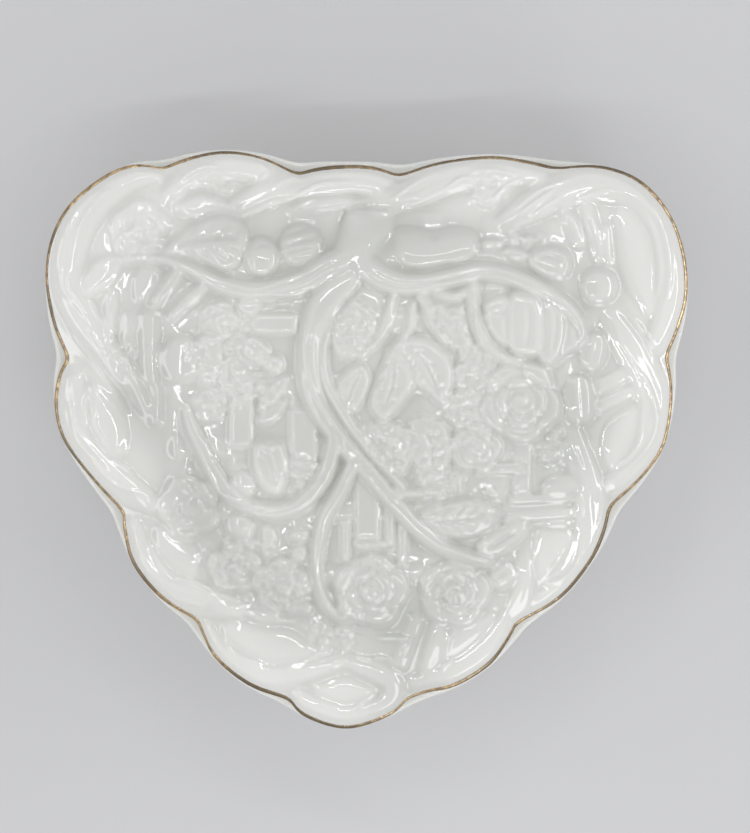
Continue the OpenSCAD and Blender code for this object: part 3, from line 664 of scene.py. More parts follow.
    # and it rounds off the top of the trunk
    top = np.exp(-(((r.x - 0.5) / 6.5)**2 + ((r.y - 39.5) / 5.5)**2)**2)
    r.h = r.h * (1 - top) + blurred(r.h, 0.9) * top
    for points, depth, width in r.fine:
        r.score(points, depth, width, again=False)
    r.score([(-5.5, 40.6), (-4.9, 43.8), (-3.2, 45.7), (0.5, 46.2), (4.4, 45.8), (6.5, 44.3)],
            0.6, 0.6, again=False)
    for points in LINES:
        r.score(points, -0.36, 0.4, again=False)
    grain = blurred(rng.normal(size=r.h.shape), 0.42)
    return r.h + 0.12 * grain / grain.std() * crumpled(r.x, r.y)


def bowl_relief(lap, notches):
    """The relief of the bowl's side, unrolled: x runs round the rim from the left-hand notch, y is
    the height. What crosses the two ends is drawn at both."""
    r = Relief(*BOWL_FIELD, lap + 2 * MARGIN, 40)
    # the trellis, woven from two sets of slanting slats, each this long along the rim
    count, low, high, run = 34, 6, 33, 28
    pitch = lap / count
    for k in range(-3, count + 3):
        r.slat(k * pitch - run / 2, low, k * pitch + run / 2, high, 1.5, 0.5, sink=0.2)
    for k in range(-3, count + 3):
        r.slat(k * pitch + run / 2, low, k * pitch - run / 2, high, 1.5, 0.62, sink=0.3)
    # and the places where the first set passes over the second
    step = (high - low) / run * pitch / 2
    dx, dy = 2.6, 2.6 * (high - low) / run
    for k in range(-3, count + 3):
        for j in (-2, 0, 2):
            x, y = k * pitch + j * pitch / 2, (low + high) / 2 + j * step
            r.slat(x - dx, y - dy, x + dx, y + dy, 1.5, 0.7, sink=0.3)
    lobes = len(notches)

    def span(k):
        """A lobe's number, and where it begins and ends, lap after lap."""
        i = k % lobes
        turn = (k - i) / lobes * lap
        return i, notches[i] + turn, (notches[i + 1] if i + 1 < lobes else notches[0] + lap) + turn

    # what hangs on it, lobe by lobe
    for k in range(-2, lobes + 2):
        i, a, b = span(k)
        c, w = (a + b) / 2, (b - a) / 2
        if c < -MARGIN - 10 or c > lap + MARGIN + 10:
            continue
        s = 1 if i % 2 else -1
        for points in ([(-0.9, 26), (-0.7, 29.5), (-0.35, 30.5)],
                       [(0.5, 10), (0.8, 11.5), (1.1, 10.5)]):
            r.frond([(c + s * w * x, y) for x, y in points], 3, 0.8, 3, half=1.0)
        if i % 3 == 0:
            for t in (-1, 1):
                r.leaf([(c + 4 * t, 15), (c + 9.5 * t, 13.6), (c + 14.5 * t, 15.5)],
                       3.1, 1.2, rib=0.35)
                r.leaf([(c + 3 * t, 20), (c + 7.5 * t, 23.5), (c + 9.5 * t, 28)],
                       2.6, 1.1, rib=0.35)
            r.rose(c, 17, 7.2, 2.0, turn=20 * i)
        elif i % 3 == 1:
            r.leaf([(c - 1, 24), (c - 6, 19.5), (c - 8, 12.5)], 3.7, 1.4, rib=0.35)
            r.leaf([(c + 1, 24), (c + 6.5, 20.5), (c + 10, 14)], 3.7, 1.4, rib=0.35)
            r.bud(c, 14, 3.0, 4.0, 1.5, 0, petals=3)
            r.leaf([(c + 2, 26), (c + 6, 28.5), (c + 11, 29)], 2.0, 1.0)
        else:
            r.rose(c - 4 * s, 15.5, 5.2, 1.7, turn=35 * i)
            r.rose(c + 6.5 * s, 19.5, 4.6, 1.6, turn=50 * i)
            r.leaf([(c + s, 12), (c + 6 * s, 10.8), (c + 10 * s, 12.5)], 2.4, 1.1)
            r.leaf([(c - 6 * s, 21), (c - 9 * s, 24.5), (c - 9 * s, 29)], 2.4, 1.1)
    # the vine, the rope below the rim and the rope above the foot
    vine = []
    for k in range(-2, lobes + 3):
        i, a, b = span(k)
        top = 26.5 - 2 * (i % 3 == 2)
        for t in range(8):
            y = 13 + (top - 13) * (0.5 - 0.5 * math.cos(math.pi * t / 4))
            vine.append((a + (b - a) * t / 8, y, 1.5 + 0.1 * (t % 3)))
    vine = [p for p in vine if -MARGIN - 12 < p[0] < lap + MARGIN + 12]
    r.strand(vine, 1.5, lanes=2, groove=0.25, broad=0.15, twist=0.02, ride=0.3)
    for height, half, rise, twist in ((32.3, 2.1, 1.15, 1 / 6), (6.4, 1.8, 1.0, -1 / 5.5)):
        turns = round(abs(twist) * lap) / lap * (1 if twist > 0 else -1)
        r.strand([(x, height, half) for x in np.arange(-MARGIN - 9, lap + MARGIN + 9, 6)], rise,
                 lanes=2, groove=0.7, twist=turns, sink=0.4, ride=0.0, phase=(-MARGIN - 9) * turns)
    return blurred(r.h, 0.3)


# ---------------------------------------------------------------- outlines, in millimetres
# The CAD's own outline: one row a lobe, clockwise from the left-hand notch.
LOBES = [
    [(-60, 16.5), (-63, 24), (-64.3, 33), (-63, 41), (-59.3, 47.5), (-52.5, 53), (-46.5, 55.2)],
    [(-41, 54.5), (-35.3, 56.7), (-28.3, 57.9), (-21, 56.7)],
    [(-14, 53.5), (-9, 54.7), (-3.3, 55.1), (1.7, 54.7)],
    [(6.5, 53.1), (14.7, 55.7), (24.7, 56.9), (32, 56)],
    [(38, 54.6), (46.7, 55), (54.7, 52.2), (60.4, 46), (63.6, 38), (64.3, 29.5), (62.8, 23)],
    [(60.3, 17), (61.2, 11), (61, 5), (59.3, -2), (54.8, -8)],
    [(49, -13.3), (47.6, -19), (45, -24.5), (39, -31.7)],
    [(30.2, -36.8), (28.2, -40.5), (24.5, -45.3), (17.7, -49.4), (12, -50.6)],
    [(8.2, -52), (4.5, -55.3), (-4, -57.9), (-12.3, -55.5)],
    [(-15.7, -52), (-23.3, -49.4), (-30, -44.2), (-32.6, -39.5)],
    [(-34, -36.2), (-41.3, -31.7), (-46.8, -25), (-48.6, -18.5)],
    [(-48.8, -14.5), (-55.3, -7.5), (-60.8, 0), (-62.5, 7), (-61.8, 12.7)],
]
MIDDLE = np.array([0.0, 4.0])
FINE = 24                   # points on the outline from one drawn point to the next
REACH = 7 * FINE // 3       # how far along it the softened outline averages


def outline():
    """The lid's edge as one closed ring."""
    ring = []
    for i, lobe in enumerate(LOBES):
        q = np.array(lobe + [LOBES[(i + 1) % len(LOBES)][0]], float)
        q = np.vstack([2 * q[0] - q[1], q, 2 * q[-1] - q[-2]])
        t = (np.arange(FINE) / FINE)[:, None]
        ring += [catmull(a, b, c, d, t) for a, b, c, d in zip(q, q[1:], q[2:], q[3:])]
    return np.vstack(ring)


def softened(ring, reach=REACH):
    """The ring, each point averaged with its neighbours up to reach places away."""
    n = len(ring)
    total = np.cumsum(np.vstack([ring[-reach - 1:], ring, ring[:reach]]), axis=0)
    return (total[2 * reach + 1:] - total[:n]) / (2 * reach + 1)


def mix(a, b, share):
    return a * (1 - share) + b * share


def normals(ring):
    """The way out of a ring at each of its points."""
    step = np.roll(ring, -1, 0) - np.roll(ring, 1, 0)
    return np.column_stack([-step[:, 1], step[:, 0]]) / np.linalg.norm(step, axis=1)[:, None]


def grown(ring, d):
    """The ring moved outwards by d, square to itself."""
    return ring + d * normals(ring)


def inset(ring, d):
    """The ring drawn in towards the middle by d."""
    out = ring - MIDDLE
    return ring - d * out / np.linalg.norm(out, axis=1)[:, None]


def shrunk(ring, share):
    """The ring drawn in to a share of its size."""
    return MIDDLE + share * (ring - MIDDLE)


def at(ring, z):
    """The ring laid flat at a height."""
    return np.column_stack([ring, np.full(len(ring), float(z))])


def picked(ring, t):
    """The ring at the places t in its list of points."""
    n = len(ring)
    i = t.astype(int)
    f = (t - i)[:, None]
    return ring[i % n] * (1 - f) + ring[(i + 1) % n] * f


def resampled(ring, count):
    """The ring with count points, evenly spread along its own list of points."""
    return picked(ring, np.arange(count) * len(ring) / count)


EDGE = softened(outline(), 6)          # the glaze rounds the notches
SOFT = softened(EDGE)
BOWL_EDGE = grown(softened(mix(EDGE, SOFT, 0.4), 9), 1.9)
BOWL_SOFT = softened(BOWL_EDGE)
WALL = 3.2
BOWL_MOUTH = inset(mix(BOWL_EDGE, BOWL_SOFT, 0.3), WALL + 1)
FLANGE_OUTER = inset(BOWL_MOUTH, 0.7)
FLANGE_INNER = inset(FLANGE_OUTER, 2.6)
SEAT = 38.3                 # height of the lid's seat
LIP = 3.2                   # height of the lip above it
CROWN = 13.0                # height of the smooth dome's crown above it


# ---------------------------------------------------------------- meshes
def zipped(n, m, a, b):
    """Triangles between a ring of n points from number a and one of m points from number b."""
    faces, i, j = [], 0, 0
    while i < n or j < m:
        if j >= m or (i < n and (i + 1) * m <= (j + 1) * n):
            faces.append((a + i % n, b + j % m, a + (i + 1) % n))
            i += 1
        else:
            faces.append((a + i % n, b + j % m, b + (j + 1) % m))
            j += 1
    return faces


def skin(name, rings, closed=False):
    """A mesh over a stack of rings: capped at both ends, or joined last to first when closed."""
    verts = np.vstack(rings)
    starts = np.cumsum([0] + [len(r) for r in rings])
    faces = []
    pairs = list(range(len(rings) - 1)) + ([-1] if closed else [])
    for k in pairs:
        n, m, a, b = len(rings[k]), len(rings[k + 1]), starts[k], starts[k + 1]
        if k == -1:
            n, m, a, b = len(rings[-1]), len(rings[0]), starts[-2], 0
        if n == m:
            i = np.arange(n)
            j = (i + 1) % n
            faces += np.column_stack([a + i, b + i, b + j, a + j]).tolist()
        else:
            faces += zipped(n, m, int(a), int(b))
    if not closed:
        faces.append([int(v) for v in range(starts[1])])
        faces.append([int(v) for v in range(starts[-2], starts[-1])][::-1])
    mesh = bpy.data.meshes.new(name)
    mesh.from_pydata((verts * MM).tolist(), [], faces)
    mesh.polygons.foreach_set("use_smooth", np.ones(len(mesh.polygons), bool))
    mesh.update()
    obj = bpy.data.objects.new(name, mesh)
    bpy.context.scene.collection.objects.link(obj)
    return obj


def paint(obj, name, values):
    """A number for each vertex, for the materials to read."""
    layer = obj.data.attributes.new(name, "FLOAT", "POINT")
    layer.data.foreach_set("value", np.asarray(values, np.float32))


def sampled(field, west, south, x, y):
    """A grid's value at points, bilinear."""
    cx = np.clip((x - west) / CELL, 0, field.shape[1] - 1.001)
    cy = np.clip((y - south) / CELL, 0, field.shape[0] - 1.001)
    i, j = cx.astype(int), cy.astype(int)
    fx, fy = cx - i, cy - j
    return ((field[j, i] * (1 - fx) + field[j, i + 1] * fx) * (1 - fy)
            + (field[j + 1, i] * (1 - fx) + field[j + 1, i + 1] * fx) * fy)


# ---------------------------------------------------------------- lid
LID_COUNT = 1040            # points round the lid's edge
HOOP_COUNT = 560            # points round the ground hoops
RADIUS = 62                 # roughly, from the middle to the lid's edge
RING_STEP = 0.4             # distance from one ring of the lid's top to the next
GILDED = 0.675              # how far in from the edge the gilding reaches

RELIEF = lid_relief()
# how far a place lies below what is round it; the glaze's colour is greyed by it there as painted
# shade, which also stands for glaze pooled in the hollows
HOLLOW_SHADE = blurred(blurred(RELIEF, 2) - RELIEF, 0.55)
# painted shade: spots where the glaze is coloured greyer, or with a minus less grey than the
# painted shade round them: x, y, reach, how much
SHADE_SPOTS = [
    (-12, 44, 7, 0.32), (4, 43, 7, 0.3), (-26, 44, 6, 0.2), (14, 44, 7, 0.14), (-45, 4, 8, 0.25),
    (-34, -12, 9, 0.3), (-34, -20, 8, 0.2), (-26, -30, 8, 0.2), (-16, -36, 8, 0.2),
    (6, -38, 9, 0.3), (18, -36, 8, 0.3), (10, -46, 9, 0.3), (6, -53, 9, 0.35), (28, -30, 8, 0.2),
    (42, 0, 9, 0.28), (44, -14, 9, 0.2), (8, 20, 14, -0.3), (-24, 26, 9, -0.28),
    (32, 22, 10, -0.32), (-10, 14, 8, -0.2), (-28, 12, 8, -0.2), (-20, -12, 7, -0.35)]


def lid_top():
    """The rings of the lid's top, from the edge to the middle, and what is painted at their points:
    how hollow it is, which greys it as painted shade; how much painted shade greys the middle and
    the listed spots; and how crumpled the modelling. A ring's share is its size against the edge's,
    and within how far in from the edge it lies."""
    lip_top, inner = inset(EDGE, GILDED), inset(SOFT, GILDED)
    rings, hollow, field, loose = [], [], [], []
    for share in np.arange(1, 0.004, -RING_STEP / RADIUS):
        ring = shrunk(mix(lip_top, inner, smoothstep((1 - share) / 0.24)), share)
        ring = resampled(ring, max(8, int(LID_COUNT * min(1, share * 1.05))))
        within = (1 - share) * RADIUS
        fade = smoothstep(within / 1.6)
        rise = sampled(RELIEF, *LID_FIELD, ring[:, 0], ring[:, 1]) * fade
        # no furrow comes near the lip
        rise = np.where(rise < 0, rise * smoothstep(within / 3 - 1), rise)
        # the dome, with a shallow channel between its border and its field
        z = SEAT + CROWN - (CROWN - LIP) * share**2.7 - 0.5 * math.exp(-((share - 0.76) / 0.09)**2)
        rings.append(np.column_stack([ring, z + rise]))
        hollow.append(sampled(HOLLOW_SHADE, *LID_FIELD, ring[:, 0], ring[:, 1]) * fade)
        pools = sum(more * np.exp(-np.sum((ring - (x, y))**2, axis=1) / reach**2)
                    for x, y, reach, more in SHADE_SPOTS)
        # painted shade: greyer towards the lid's middle, and more or less so in the listed spots
        field.append(np.clip(0.5 * smoothstep((0.9 - share) / 0.22) + pools, 0, 1))
        loose.append(crumpled(ring[:, 0], ring[:, 1]))
    return rings, hollow, field, loose


def lid_under():
    """The lid's hollow, its seat and its lip, from the hollow's ceiling out to the gilding."""
    ceiling = SEAT + CROWN - WALL
    rings = []
    for share, drop, count in [(0.02, 0, 8), (0.15, 0.15, 60), (0.3, 0.5, 110), (0.42, 1.1, 160),
                               (0.55, 2, 200), (0.67, 3.4, 260), (0.78, 5.2, 300)]:
        rings.append(at(resampled(shrunk(SOFT, share), count), ceiling - drop))
    for d, z, count in [(2.6, 3, 340), (1.6, 2, 340), (0.9, 1, 340), (0.5, 0.15, 340),
                        (0.3, 0, 380)]:
        rings.append(at(resampled(inset(FLANGE_INNER, d), count), SEAT + z))
    for d, z in [(1.0, 0), (0.6, 0.12), (0.25, 0.5), (0.06, 1.0), (0, 1.5), (0, 2.2), (0.03, 2.5),
                 (0.12, 2.8), (0.28, 3.0), (0.48, 3.13)]:
        rings.append(at(resampled(inset(EDGE, d), LID_COUNT), SEAT + z))
    return rings


def make_lid():
    """The lid, and the rings over its lip that the gold line lies on."""
    under, (top, hollow, field, loose) = lid_under(), lid_top()
    below = np.zeros(sum(len(r) for r in under))
    lid = skin("lid_porcelain", under + top)
    paint(lid, "hollow", np.concatenate([below, *hollow]))
    paint(lid, "field", np.concatenate([below, *field]))
    paint(lid, "loose", np.concatenate([below, *loose]))
    return lid, [resampled(r, LID_COUNT) for r in under[-6:] + top[:5]]


# where the gold is painted a dark olive brown, as painted dark reflection: x, y, reach
DARK_REFLECTION_SPOTS = [(-8, -57, 14), (24, -45, 9), (40, -29, 9), (-24, -49, 8), (-10, 55, 9), (14, 56, 13),
          (38, 55, 8), (50, 54, 7), (-30, 57, 8), (-59, -3, 9), (-62, 26, 7), (-46, -27, 7),
          (-63, 40, 4), (48, -18, 6)]


def make_gilding(lip):
    """A film of gold over the lip's corner, drawn by hand, so that its edges wander."""
    lip = np.array(lip)
    count = lip.shape[1]
    section = np.gradient(lip, axis=0)
    way = np.roll(lip, -1, 1) - np.roll(lip, 1, 1)
    out = np.cross(section, way)
    out /= np.linalg.norm(out, axis=2)[..., None]
    if (out[2, :, :2] * normals(resampled(EDGE, count))).sum() < 0:
        out = -out
    turn = np.arange(count) / count * 2 * np.pi

    def wander(seed, size):
        r = np.random.default_rng(seed)
        waves = sum(r.normal() * np.cos(k * turn + r.uniform(0, 6.3)) / k**0.5
                    for k in (5, 9, 14, 23, 37, 61, 90, 140))
        return size * waves / 2

    # the film's two edges, counted in the lip's rings
    low = 2.1 + wander(3, 0.35)
    high = 6.4 + wander(4, 0.6)

    def point(s, off):
        """The points at s among the lip's rings, off the porcelain by off."""
        s = np.clip(s, 0, len(lip) - 1.001)
        i = s.astype(int)
        f = (s - i)[:, None]
        c = np.arange(count)
        p = lip[i, c] * (1 - f) + lip[i + 1, c] * f
        n = out[i, c] * (1 - f) + out[i + 1, c] * f
        return p + off * n

    thick = (0.03, 0.055, 0.06, 0.06, 0.06, 0.06, 0.055, 0.03)
    film = [point(low + (high - low) * (k + 0.3) / 7.6, off) for k, off in enumerate(thick)]
    rings = [point(low, -0.06), *film, point(high, -0.06)]
    line = skin("lid_gold_line", rings, closed=True)
    p = np.concatenate(rings)
    # painted dark reflection: how much the gold is darkened near the listed spots
    dark_reflection = sum(np.exp(-(np.hypot(p[:, 0] - x, p[:, 1] - y) / reach)**2) for x, y, reach in DARK_REFLECTION_SPOTS)
    paint(line, "dark_reflection", 0.85 * np.minimum(dark_reflection, 1))
    return line


def hoop(name, outer, inner, sides):
    """A closed hoop: sides gives how far each ring of its outer face is drawn in, and its height,
    and its inner face is the same the other way round."""
    rings = [at(resampled(inset(outer, d), HOOP_COUNT), z) for d, z in sides]
    rings += [at(resampled(inset(inner, -d), HOOP_COUNT), z) for d, z in sides[::-1]]
    return skin(name, rings, closed=True)


def make_flange():
    """The ground ring under the lid that keeps it in place."""
    low = SEAT - 4.5
    return hoop("lid_seat_flange", FLANGE_OUTER, FLANGE_INNER,
                [(0.35, low), (0.1, low + 0.12), (0, low + 0.4), (0, low + 2), (0, SEAT + 0.2)])


# ---------------------------------------------------------------- bowl
BOWL_TOP = 38.0             # height of the rim
FOOT = 2.0                  # height of the foot ring
BOWL_COUNT = 1040           # points round the bowl
SUNK = 0.8                  # how far its relief is let into its wall


def through(rows, n):
    """A smooth stack of rings through a few given rings, n new rings to each gap."""
    r = np.array(rows)
    r = np.concatenate([2 * r[:1] - r[1:2], r, 2 * r[-1:] - r[-2:-1]])
    out = []
    for k, count in enumerate(n):
        out += [catmull(*r[k:k + 4], t) for t in np.arange(count) / count]
    return out + [r[-2]]


def lengths(ring):
    """The length along a closed ring at each of its points, and all round it."""
    steps = np.linalg.norm(np.diff(ring, axis=0, append=ring[:1]), axis=1)
    return np.concatenate([[0], np.cumsum(steps)])


ROUND = lengths(BOWL_EDGE)
NOTCHES = [float(ROUND[FINE * sum(len(lobe) for lobe in LOBES[:i])]) for i in range(len(LOBES))]
BOWL_RELIEF = bowl_relief(float(ROUND[-1]), NOTCHES)
# the same for the bowl's wall: how far a place lies below what is round it, greyed there as painted
# shade
BOWL_HOLLOW_SHADE = blurred(blurred(BOWL_RELIEF, 2) - BOWL_RELIEF, 0.55)


def even(ring, count):
    """The ring at count places that are evenly spread along the bowl's rim."""
    places = np.arange(count) * ROUND[-1] / count
    return picked(ring, np.interp(places, ROUND, np.arange(len(ROUND))))


def make_bowl():
    """The bowl: its wall with the relief, its rim, and its smooth inside."""
    # drawn in by half a millimetre, so that no more of it shows round the lid than should
    edge, soft = inset(BOWL_EDGE, 0.5), inset(BOWL_SOFT, 0.5)
    belly = mix(edge, soft, 0.2)
    low = mix(BOWL_EDGE, BOWL_SOFT, 0.8)
    outer = [at(even(r, BOWL_COUNT), z) for r, z in [
        (inset(low, 9.5), FOOT), (inset(low, 6), FOOT + 2.2),
        (inset(mix(low, belly, 0.4), 3), FOOT + 7), (inset(belly, 0.8), BOWL_TOP * 0.42),
        (belly, BOWL_TOP * 0.65), (inset(edge, 0.6), BOWL_TOP * 0.86), (edge, BOWL_TOP - 1.4)]]
    along = np.arange(BOWL_COUNT) * ROUND[-1] / BOWL_COUNT
    wall, hollow = [], []
    for ring in through(outer, [6, 12, 16, 20, 18, 8]):
        z = ring[0, 2]
        # the relief fades out above the foot and below the rim
        share = float(smoothstep((z - 3) / 2.5) * smoothstep((36.3 - z) / 2))
        rise = sampled(BOWL_RELIEF, *BOWL_FIELD, along, ring[:, 2])
        hollow.append(share * sampled(BOWL_HOLLOW_SHADE, *BOWL_FIELD, along, ring[:, 2]))
        wall.append(at(ring[:, :2] + (share * (rise - SUNK))[:, None] * normals(ring[:, :2]), z))
    rim = [at(even(inset(edge, d), BOWL_COUNT), BOWL_TOP - z)
           for d, z in [(0.03, 0.9), (0.12, 0.5), (0.32, 0.18), (0.55, 0.04), (0.85, 0)]]
    inside = [at(even(r, c), z) for r, z, c in [
        (inset(BOWL_MOUTH, -0.6), BOWL_TOP, 700), (inset(BOWL_MOUTH, -0.25), BOWL_TOP - 0.08, 500),
        (inset(BOWL_MOUTH, -0.05), BOWL_TOP - 0.3, 400), (BOWL_MOUTH, BOWL_TOP - 0.7, 400),
        (BOWL_MOUTH, BOWL_TOP - 3, 400), (inset(BOWL_MOUTH, 0.1), BOWL_TOP * 0.86, 400),
        (inset(mix(BOWL_SOFT, BOWL_EDGE, 0.4), WALL + 1.3), BOWL_TOP * 0.65, 400),
        (inset(BOWL_SOFT, WALL + 1.4), BOWL_TOP * 0.42, 400),
        (inset(BOWL_SOFT, WALL + 2.4), FOOT + WALL + 7, 380),
        (inset(BOWL_SOFT, WALL + 4.2), FOOT + WALL + 4.5, 360),
        (inset(BOWL_SOFT, WALL + 5.8), FOOT + WALL + 2.5, 340),
        (inset(BOWL_SOFT, WALL + 8), FOOT + WALL + 1, 320),
        (inset(BOWL_SOFT, WALL + 10), FOOT + WALL + 0.3, 300),
        (inset(BOWL_SOFT, WALL + 12), FOOT + WALL, 300), (shrunk(BOWL_SOFT, 0.5), FOOT + WALL, 150),
        (shrunk(BOWL_SOFT, 0.15), FOOT + WALL, 40)]]
    bowl = skin("bowl_porcelain", wall + rim + inside)
    paint(bowl, "hollow", np.concatenate(hollow + [np.zeros(sum(len(r) for r in rim + inside))]))
    return bowl


def make_foot():
    """The ground ring that the bowl stands on."""
    outer = inset(mix(BOWL_EDGE, BOWL_SOFT, 0.8), 10.5)
    return hoop("bowl_foot_ring", outer, inset(outer, 3),
                [(0.4, 0), (0.12, 0.1), (0, 0.4), (0, 1.2), (-0.1, FOOT + 0.1)])


# ---------------------------------------------------------------- materials
def material(name):
    """A new material, with its nodes, its links and its shader."""
    m = bpy.data.materials.new(name)
    m.use_nodes = True
    tree = m.node_tree
    shader = next(n for n in tree.nodes if n.type == "BSDF_PRINCIPLED")
    return m, tree.nodes, tree.links, shader


def noise(nodes, scale, detail=3.0, rough=0.5):
    n = nodes.new("ShaderNodeTexNoise")
    n.inputs["Scale"].default_value = scale
    n.inputs["Detail"].default_value = detail
    n.inputs["Roughness"].default_value = rough
    return n


def place(nodes, links, textures):
    """Fixes textures to the object."""
    coords = nodes.new("ShaderNodeTexCoord")
    for t in textures:
        links.new(coords.outputs["Object"], t.inputs["Vector"])


def ramp(nodes, links, source, stops):
    """A colour ramp: stops are pairs of place and colour."""
    r = nodes.new("ShaderNodeValToRGB")
    while len(r.color_ramp.elements) < len(stops):
        r.color_ramp.elements.new(0.5)
    for e, (where, colour) in zip(r.color_ramp.elements, stops):
        e.position = where
        e.color = (*colour, 1)
    links.new(source, r.inputs["Fac"])
    return r


def mixed(nodes, links, a, b, factor, mode="MIX"):
    """Two colours mixed. Each may be a colour or another node's socket."""
    m = nodes.new("ShaderNodeMix")
    m.data_type = "RGBA"
    m.blend_type = mode
    for socket, value in ((m.inputs[6], a), (m.inputs[7], b), (m.inputs[0], factor)):
        if isinstance(value, bpy.types.NodeSocket):
            links.new(value, socket)
        else:
            socket.default_value = (*value, 1) if isinstance(value, tuple) else value
    return m.outputs[2]


def attribute(nodes, name):
    """A number that was painted on the vertices."""
    a = nodes.new("ShaderNodeAttribute")
    a.attribute_name = name
    return a.outputs["Fac"]


def bumped(nodes, links, shader, height, strength, distance):
    bump = nodes.new("ShaderNodeBump")
    bump.inputs["Strength"].default_value = strength
    bump.inputs["Distance"].default_value = distance
    links.new(height, bump.inputs["Height"])
    links.new(bump.outputs["Normal"], shader.inputs["Normal"])


def greys(nodes, links, source, low, high):
    """A grey that runs from one value to another: low and high are pairs of place and value."""
    stops = [(where, (value,) * 3) for where, value in (low, high)]
    return ramp(nodes, links, source, stops).outputs["Color"]


def porcelain():
    """White glaze with painted shade: greyer in the hollows, towards the lid's middle and in listed
    spots; rippled where it is crumpled.
    """
    m, nodes, links, shader = material("glazed_porcelain")
    cloud = noise(nodes, 28, 2)
    fine = noise(nodes, 420, 3)
    place(nodes, links, [cloud, fine])
    body = ramp(nodes, links, cloud.outputs["Fac"],
                [(0.35, (0.865, 0.865, 0.828)), (0.65, (0.9, 0.9, 0.866))])
    # painted shade: the glaze is greyed towards (0.60, 0.60, 0.545) in the hollows, where shade
    # falls, and this also stands for glaze pooled there
    spread = nodes.new("ShaderNodeMapRange")
    spread.inputs["From Max"].default_value = 0.7
    spread.inputs["To Max"].default_value = 0.5
    links.new(attribute(nodes, "hollow"), spread.inputs["Value"])
    colour = mixed(nodes, links, body.outputs["Color"], (0.60, 0.60, 0.545),
                   spread.outputs["Result"])
    # painted shade: the colour is multiplied darker where the field number is high, in the lid's
    # middle and the listed spots
    colour = mixed(nodes, links, colour, (0.672, 0.682, 0.664), attribute(nodes, "field"),
                   "MULTIPLY")
    links.new(colour, shader.inputs["Base Color"])
    links.new(greys(nodes, links, fine.outputs["Fac"], (0.3, 0.05), (0.8, 0.10)),
              shader.inputs["Roughness"])
    for name, value in (("IOR", 1.58), ("Subsurface Weight", 0.35),
                        ("Subsurface Radius", (1.0, 0.9, 0.75)), ("Subsurface Scale", 0.0012),
                        ("Coat Weight", 0.8), ("Coat Roughness", 0.03)):
        shader.inputs[name].default_value = value
    # a faint swell all over, and stronger curls where the modelling is loose
    swell, curl = noise(nodes, 330, 2, 0.4), noise(nodes, 400, 0, 0.5)
    curl.inputs["Distortion"].default_value = 1.6
    place(nodes, links, [swell, curl])
    curled, height = nodes.new("ShaderNodeMath"), nodes.new("ShaderNodeMath")
    curled.operation, height.operation = "MULTIPLY", "MULTIPLY_ADD"
    links.new(curl.outputs["Fac"], curled.inputs[0])
    links.new(attribute(nodes, "loose"), curled.inputs[1])
    links.new(curled.outputs["Value"], height.inputs[0])
    height.inputs[1].default_value = 7.0
    links.new(swell.outputs["Fac"], height.inputs[2])
    bumped(nodes, links, shader, height.outputs["Value"], 0.25, 0.00012)
    return m


def bisque():
    """Bare ground porcelain: matt, warm and finely speckled."""
    m, nodes, links, shader = material("bisque")
    grain, cloud = noise(nodes, 2600, 2), noise(nodes, 60, 3)
    place(nodes, links, [grain, cloud])
    body = ramp(nodes, links, cloud.outputs["Fac"],
                [(0.35, (0.74, 0.70, 0.62)), (0.7, (0.80, 0.765, 0.69))])
    speck = ramp(nodes, links, grain.outputs["Fac"],
                 [(0.66, (1, 1, 1)), (0.76, (0.86, 0.83, 0.78))])
    links.new(mixed(nodes, links, body.outputs["Color"], speck.outputs["Color"], 1.0, "MULTIPLY"),
              shader.inputs["Base Color"])
    links.new(greys(nodes, links, cloud.outputs["Fac"], (0.3, 0.72), (0.7, 0.85)),
              shader.inputs["Roughness"])
    bumped(nodes, links, shader, grain.outputs["Fac"], 0.5, 0.00008)
    return m


def gilding():
    """Brushed gold, painted down to a dark olive brown in listed places as painted dark reflection,
    and worn through in spots.
    """
    m, nodes, links, shader = material("gilding")
    brush, wear = noise(nodes, 900, 4, 0.6), noise(nodes, 170, 5, 0.65)
    place(nodes, links, [brush, wear])
    gold = ramp(nodes, links, brush.outputs["Fac"],
                [(0.3, (0.28, 0.215, 0.14)), (0.5, (0.56, 0.42, 0.26)), (0.66, (0.9, 0.67, 0.38))])
    # painted dark reflection: the gold is mixed towards a dark olive brown where the painted number
    # is high
    reflection_darkened_gold = mixed(nodes, links, gold.outputs["Color"], (0.2, 0.165, 0.12),
                   attribute(nodes, "dark_reflection"))
    worn = greys(nodes, links, wear.outputs["Fac"], (0.66, 0), (0.71, 1))
    links.new(mixed(nodes, links, reflection_darkened_gold, (0.80, 0.77, 0.70), worn), shader.inputs["Base Color"])
    links.new(greys(nodes, links, wear.outputs["Fac"], (0.66, 1), (0.71, 0)),
              shader.inputs["Metallic"])
    links.new(greys(nodes, links, brush.outputs["Fac"], (0.3, 0.34), (0.8, 0.2)),
              shader.inputs["Roughness"])
    bumped(nodes, links, shader, brush.outputs["Fac"], 0.4, 0.00004)
    return m


def floor_paint():
    m, nodes, links, shader = material("floor_paint")
    cloud = noise(nodes, 6, 3)
    place(nodes, links, [cloud])
    body = ramp(nodes, links, cloud.outputs["Fac"],
                [(0.3, (0.68, 0.68, 0.69)), (0.7, (0.71, 0.71, 0.72))])
    links.new(body.outputs["Color"], shader.inputs["Base Color"])
    shader.inputs["Roughness"].default_value = 0.75
    return m


# ---------------------------------------------------------------- the pieces
def finished(obj, look, body, node):
    obj.data.materials.append(look)
    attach(obj, body)
    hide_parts(node)


GLAZE, BISQUE, GOLD = porcelain(), bisque(), gilding()
lid, lip = make_lid()
finished(lid, GLAZE, "lid", "lid_shell")
finished(make_gilding(lip), GOLD, "lid", "lid_gilding")
finished(make_flange(), BISQUE, "lid", "lid_flange")
finished(make_bowl(), GLAZE, "bowl", "bowl")
finished(make_foot(), BISQUE, "bowl", "foot_ring")

# ---------------------------------------------------------------- floor, light and camera
bpy.ops.mesh.primitive_plane_add(size=4, location=(0, 0, 0))
floor = bpy.context.object
floor.name = "floor"
floor.data.materials.append(floor_paint())

LIT = Vector((0, 0, 0.04))  # what every lamp points at


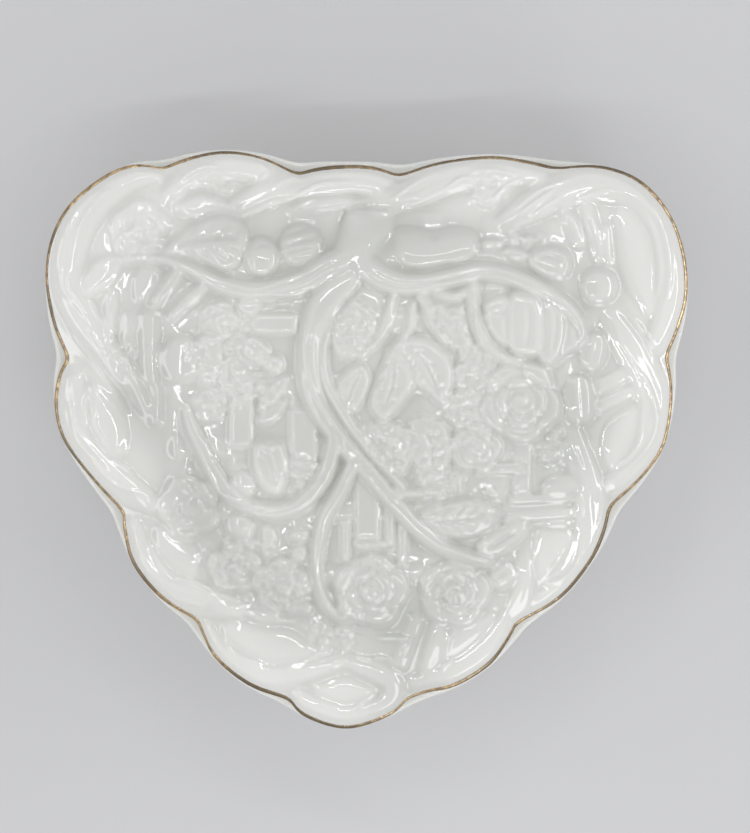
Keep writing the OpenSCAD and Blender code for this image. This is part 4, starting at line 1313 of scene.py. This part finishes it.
def lamp(name, where, size, power, length=0.0, turn=0.0):
    """A soft box, or with a length a strip light, turned about its own axis."""
    data = bpy.data.lights.new(name, "AREA")
    data.shape = "RECTANGLE" if length else "DISK"
    data.size = size
    if length:
        data.size_y = length
    data.energy = power
    data.color = (0.97, 0.975, 1.0)
    obj = bpy.data.objects.new(name, data)
    obj.location = where
    aim = (LIT - Vector(where)).to_track_quat("-Z", "Y")
    obj.rotation_euler = (aim @ Quaternion((0, 0, 1), math.radians(turn))).to_euler()
    bpy.context.scene.collection.objects.link(obj)


lamp("side", (1.02, 0.12, 0.62), 0.12, 2.3, 1.3, 90)
lamp("front", (0.55, -0.92, 0.62), 0.5, 1.3)
lamp("left", (-1.05, -0.12, 0.55), 0.22, 1.3, 1.2, 90)
lamp("strip_front", (0.04, -0.42, 1.12), 0.03, 1.45, 0.8, 90)
lamp("strip_left", (-0.55, 0.05, 1.05), 0.03, 0.85, 0.9, 90)
lamp("strip_back", (0.1, 0.55, 1.02), 0.03, 0.8, 0.8, 90)

# the studio round it: pale at the horizon, brightest half way up, darker overhead
world = bpy.data.worlds.new("studio")
world.use_nodes = True
nodes, links = world.node_tree.nodes, world.node_tree.links
where = nodes.new("ShaderNodeTexCoord")
split = nodes.new("ShaderNodeSeparateXYZ")
links.new(where.outputs["Generated"], split.inputs["Vector"])
brightness = ((0.0, 0.6), (0.3, 0.6), (0.55, 1), (0.82, 1), (0.95, 0.25))
sky = ramp(nodes, links, split.outputs["Z"], [(up, (value,) * 3) for up, value in brightness])
sky.color_ramp.interpolation = "EASE"
links.new(sky.outputs["Color"], nodes["Background"].inputs["Color"])
nodes["Background"].inputs["Strength"].default_value = 0.735
bpy.context.scene.world = world
bpy.context.scene.view_settings.view_transform = "Standard"

# straight above, as in the photograph
camera = bpy.data.cameras.new("camera")
camera.lens = 97.2
camera.sensor_width = 36
eye = bpy.data.objects.new("camera", camera)
eye.location = (0.0017, 0.0047, 0.491)
bpy.context.scene.collection.objects.link(eye)
bpy.context.scene.camera = eye
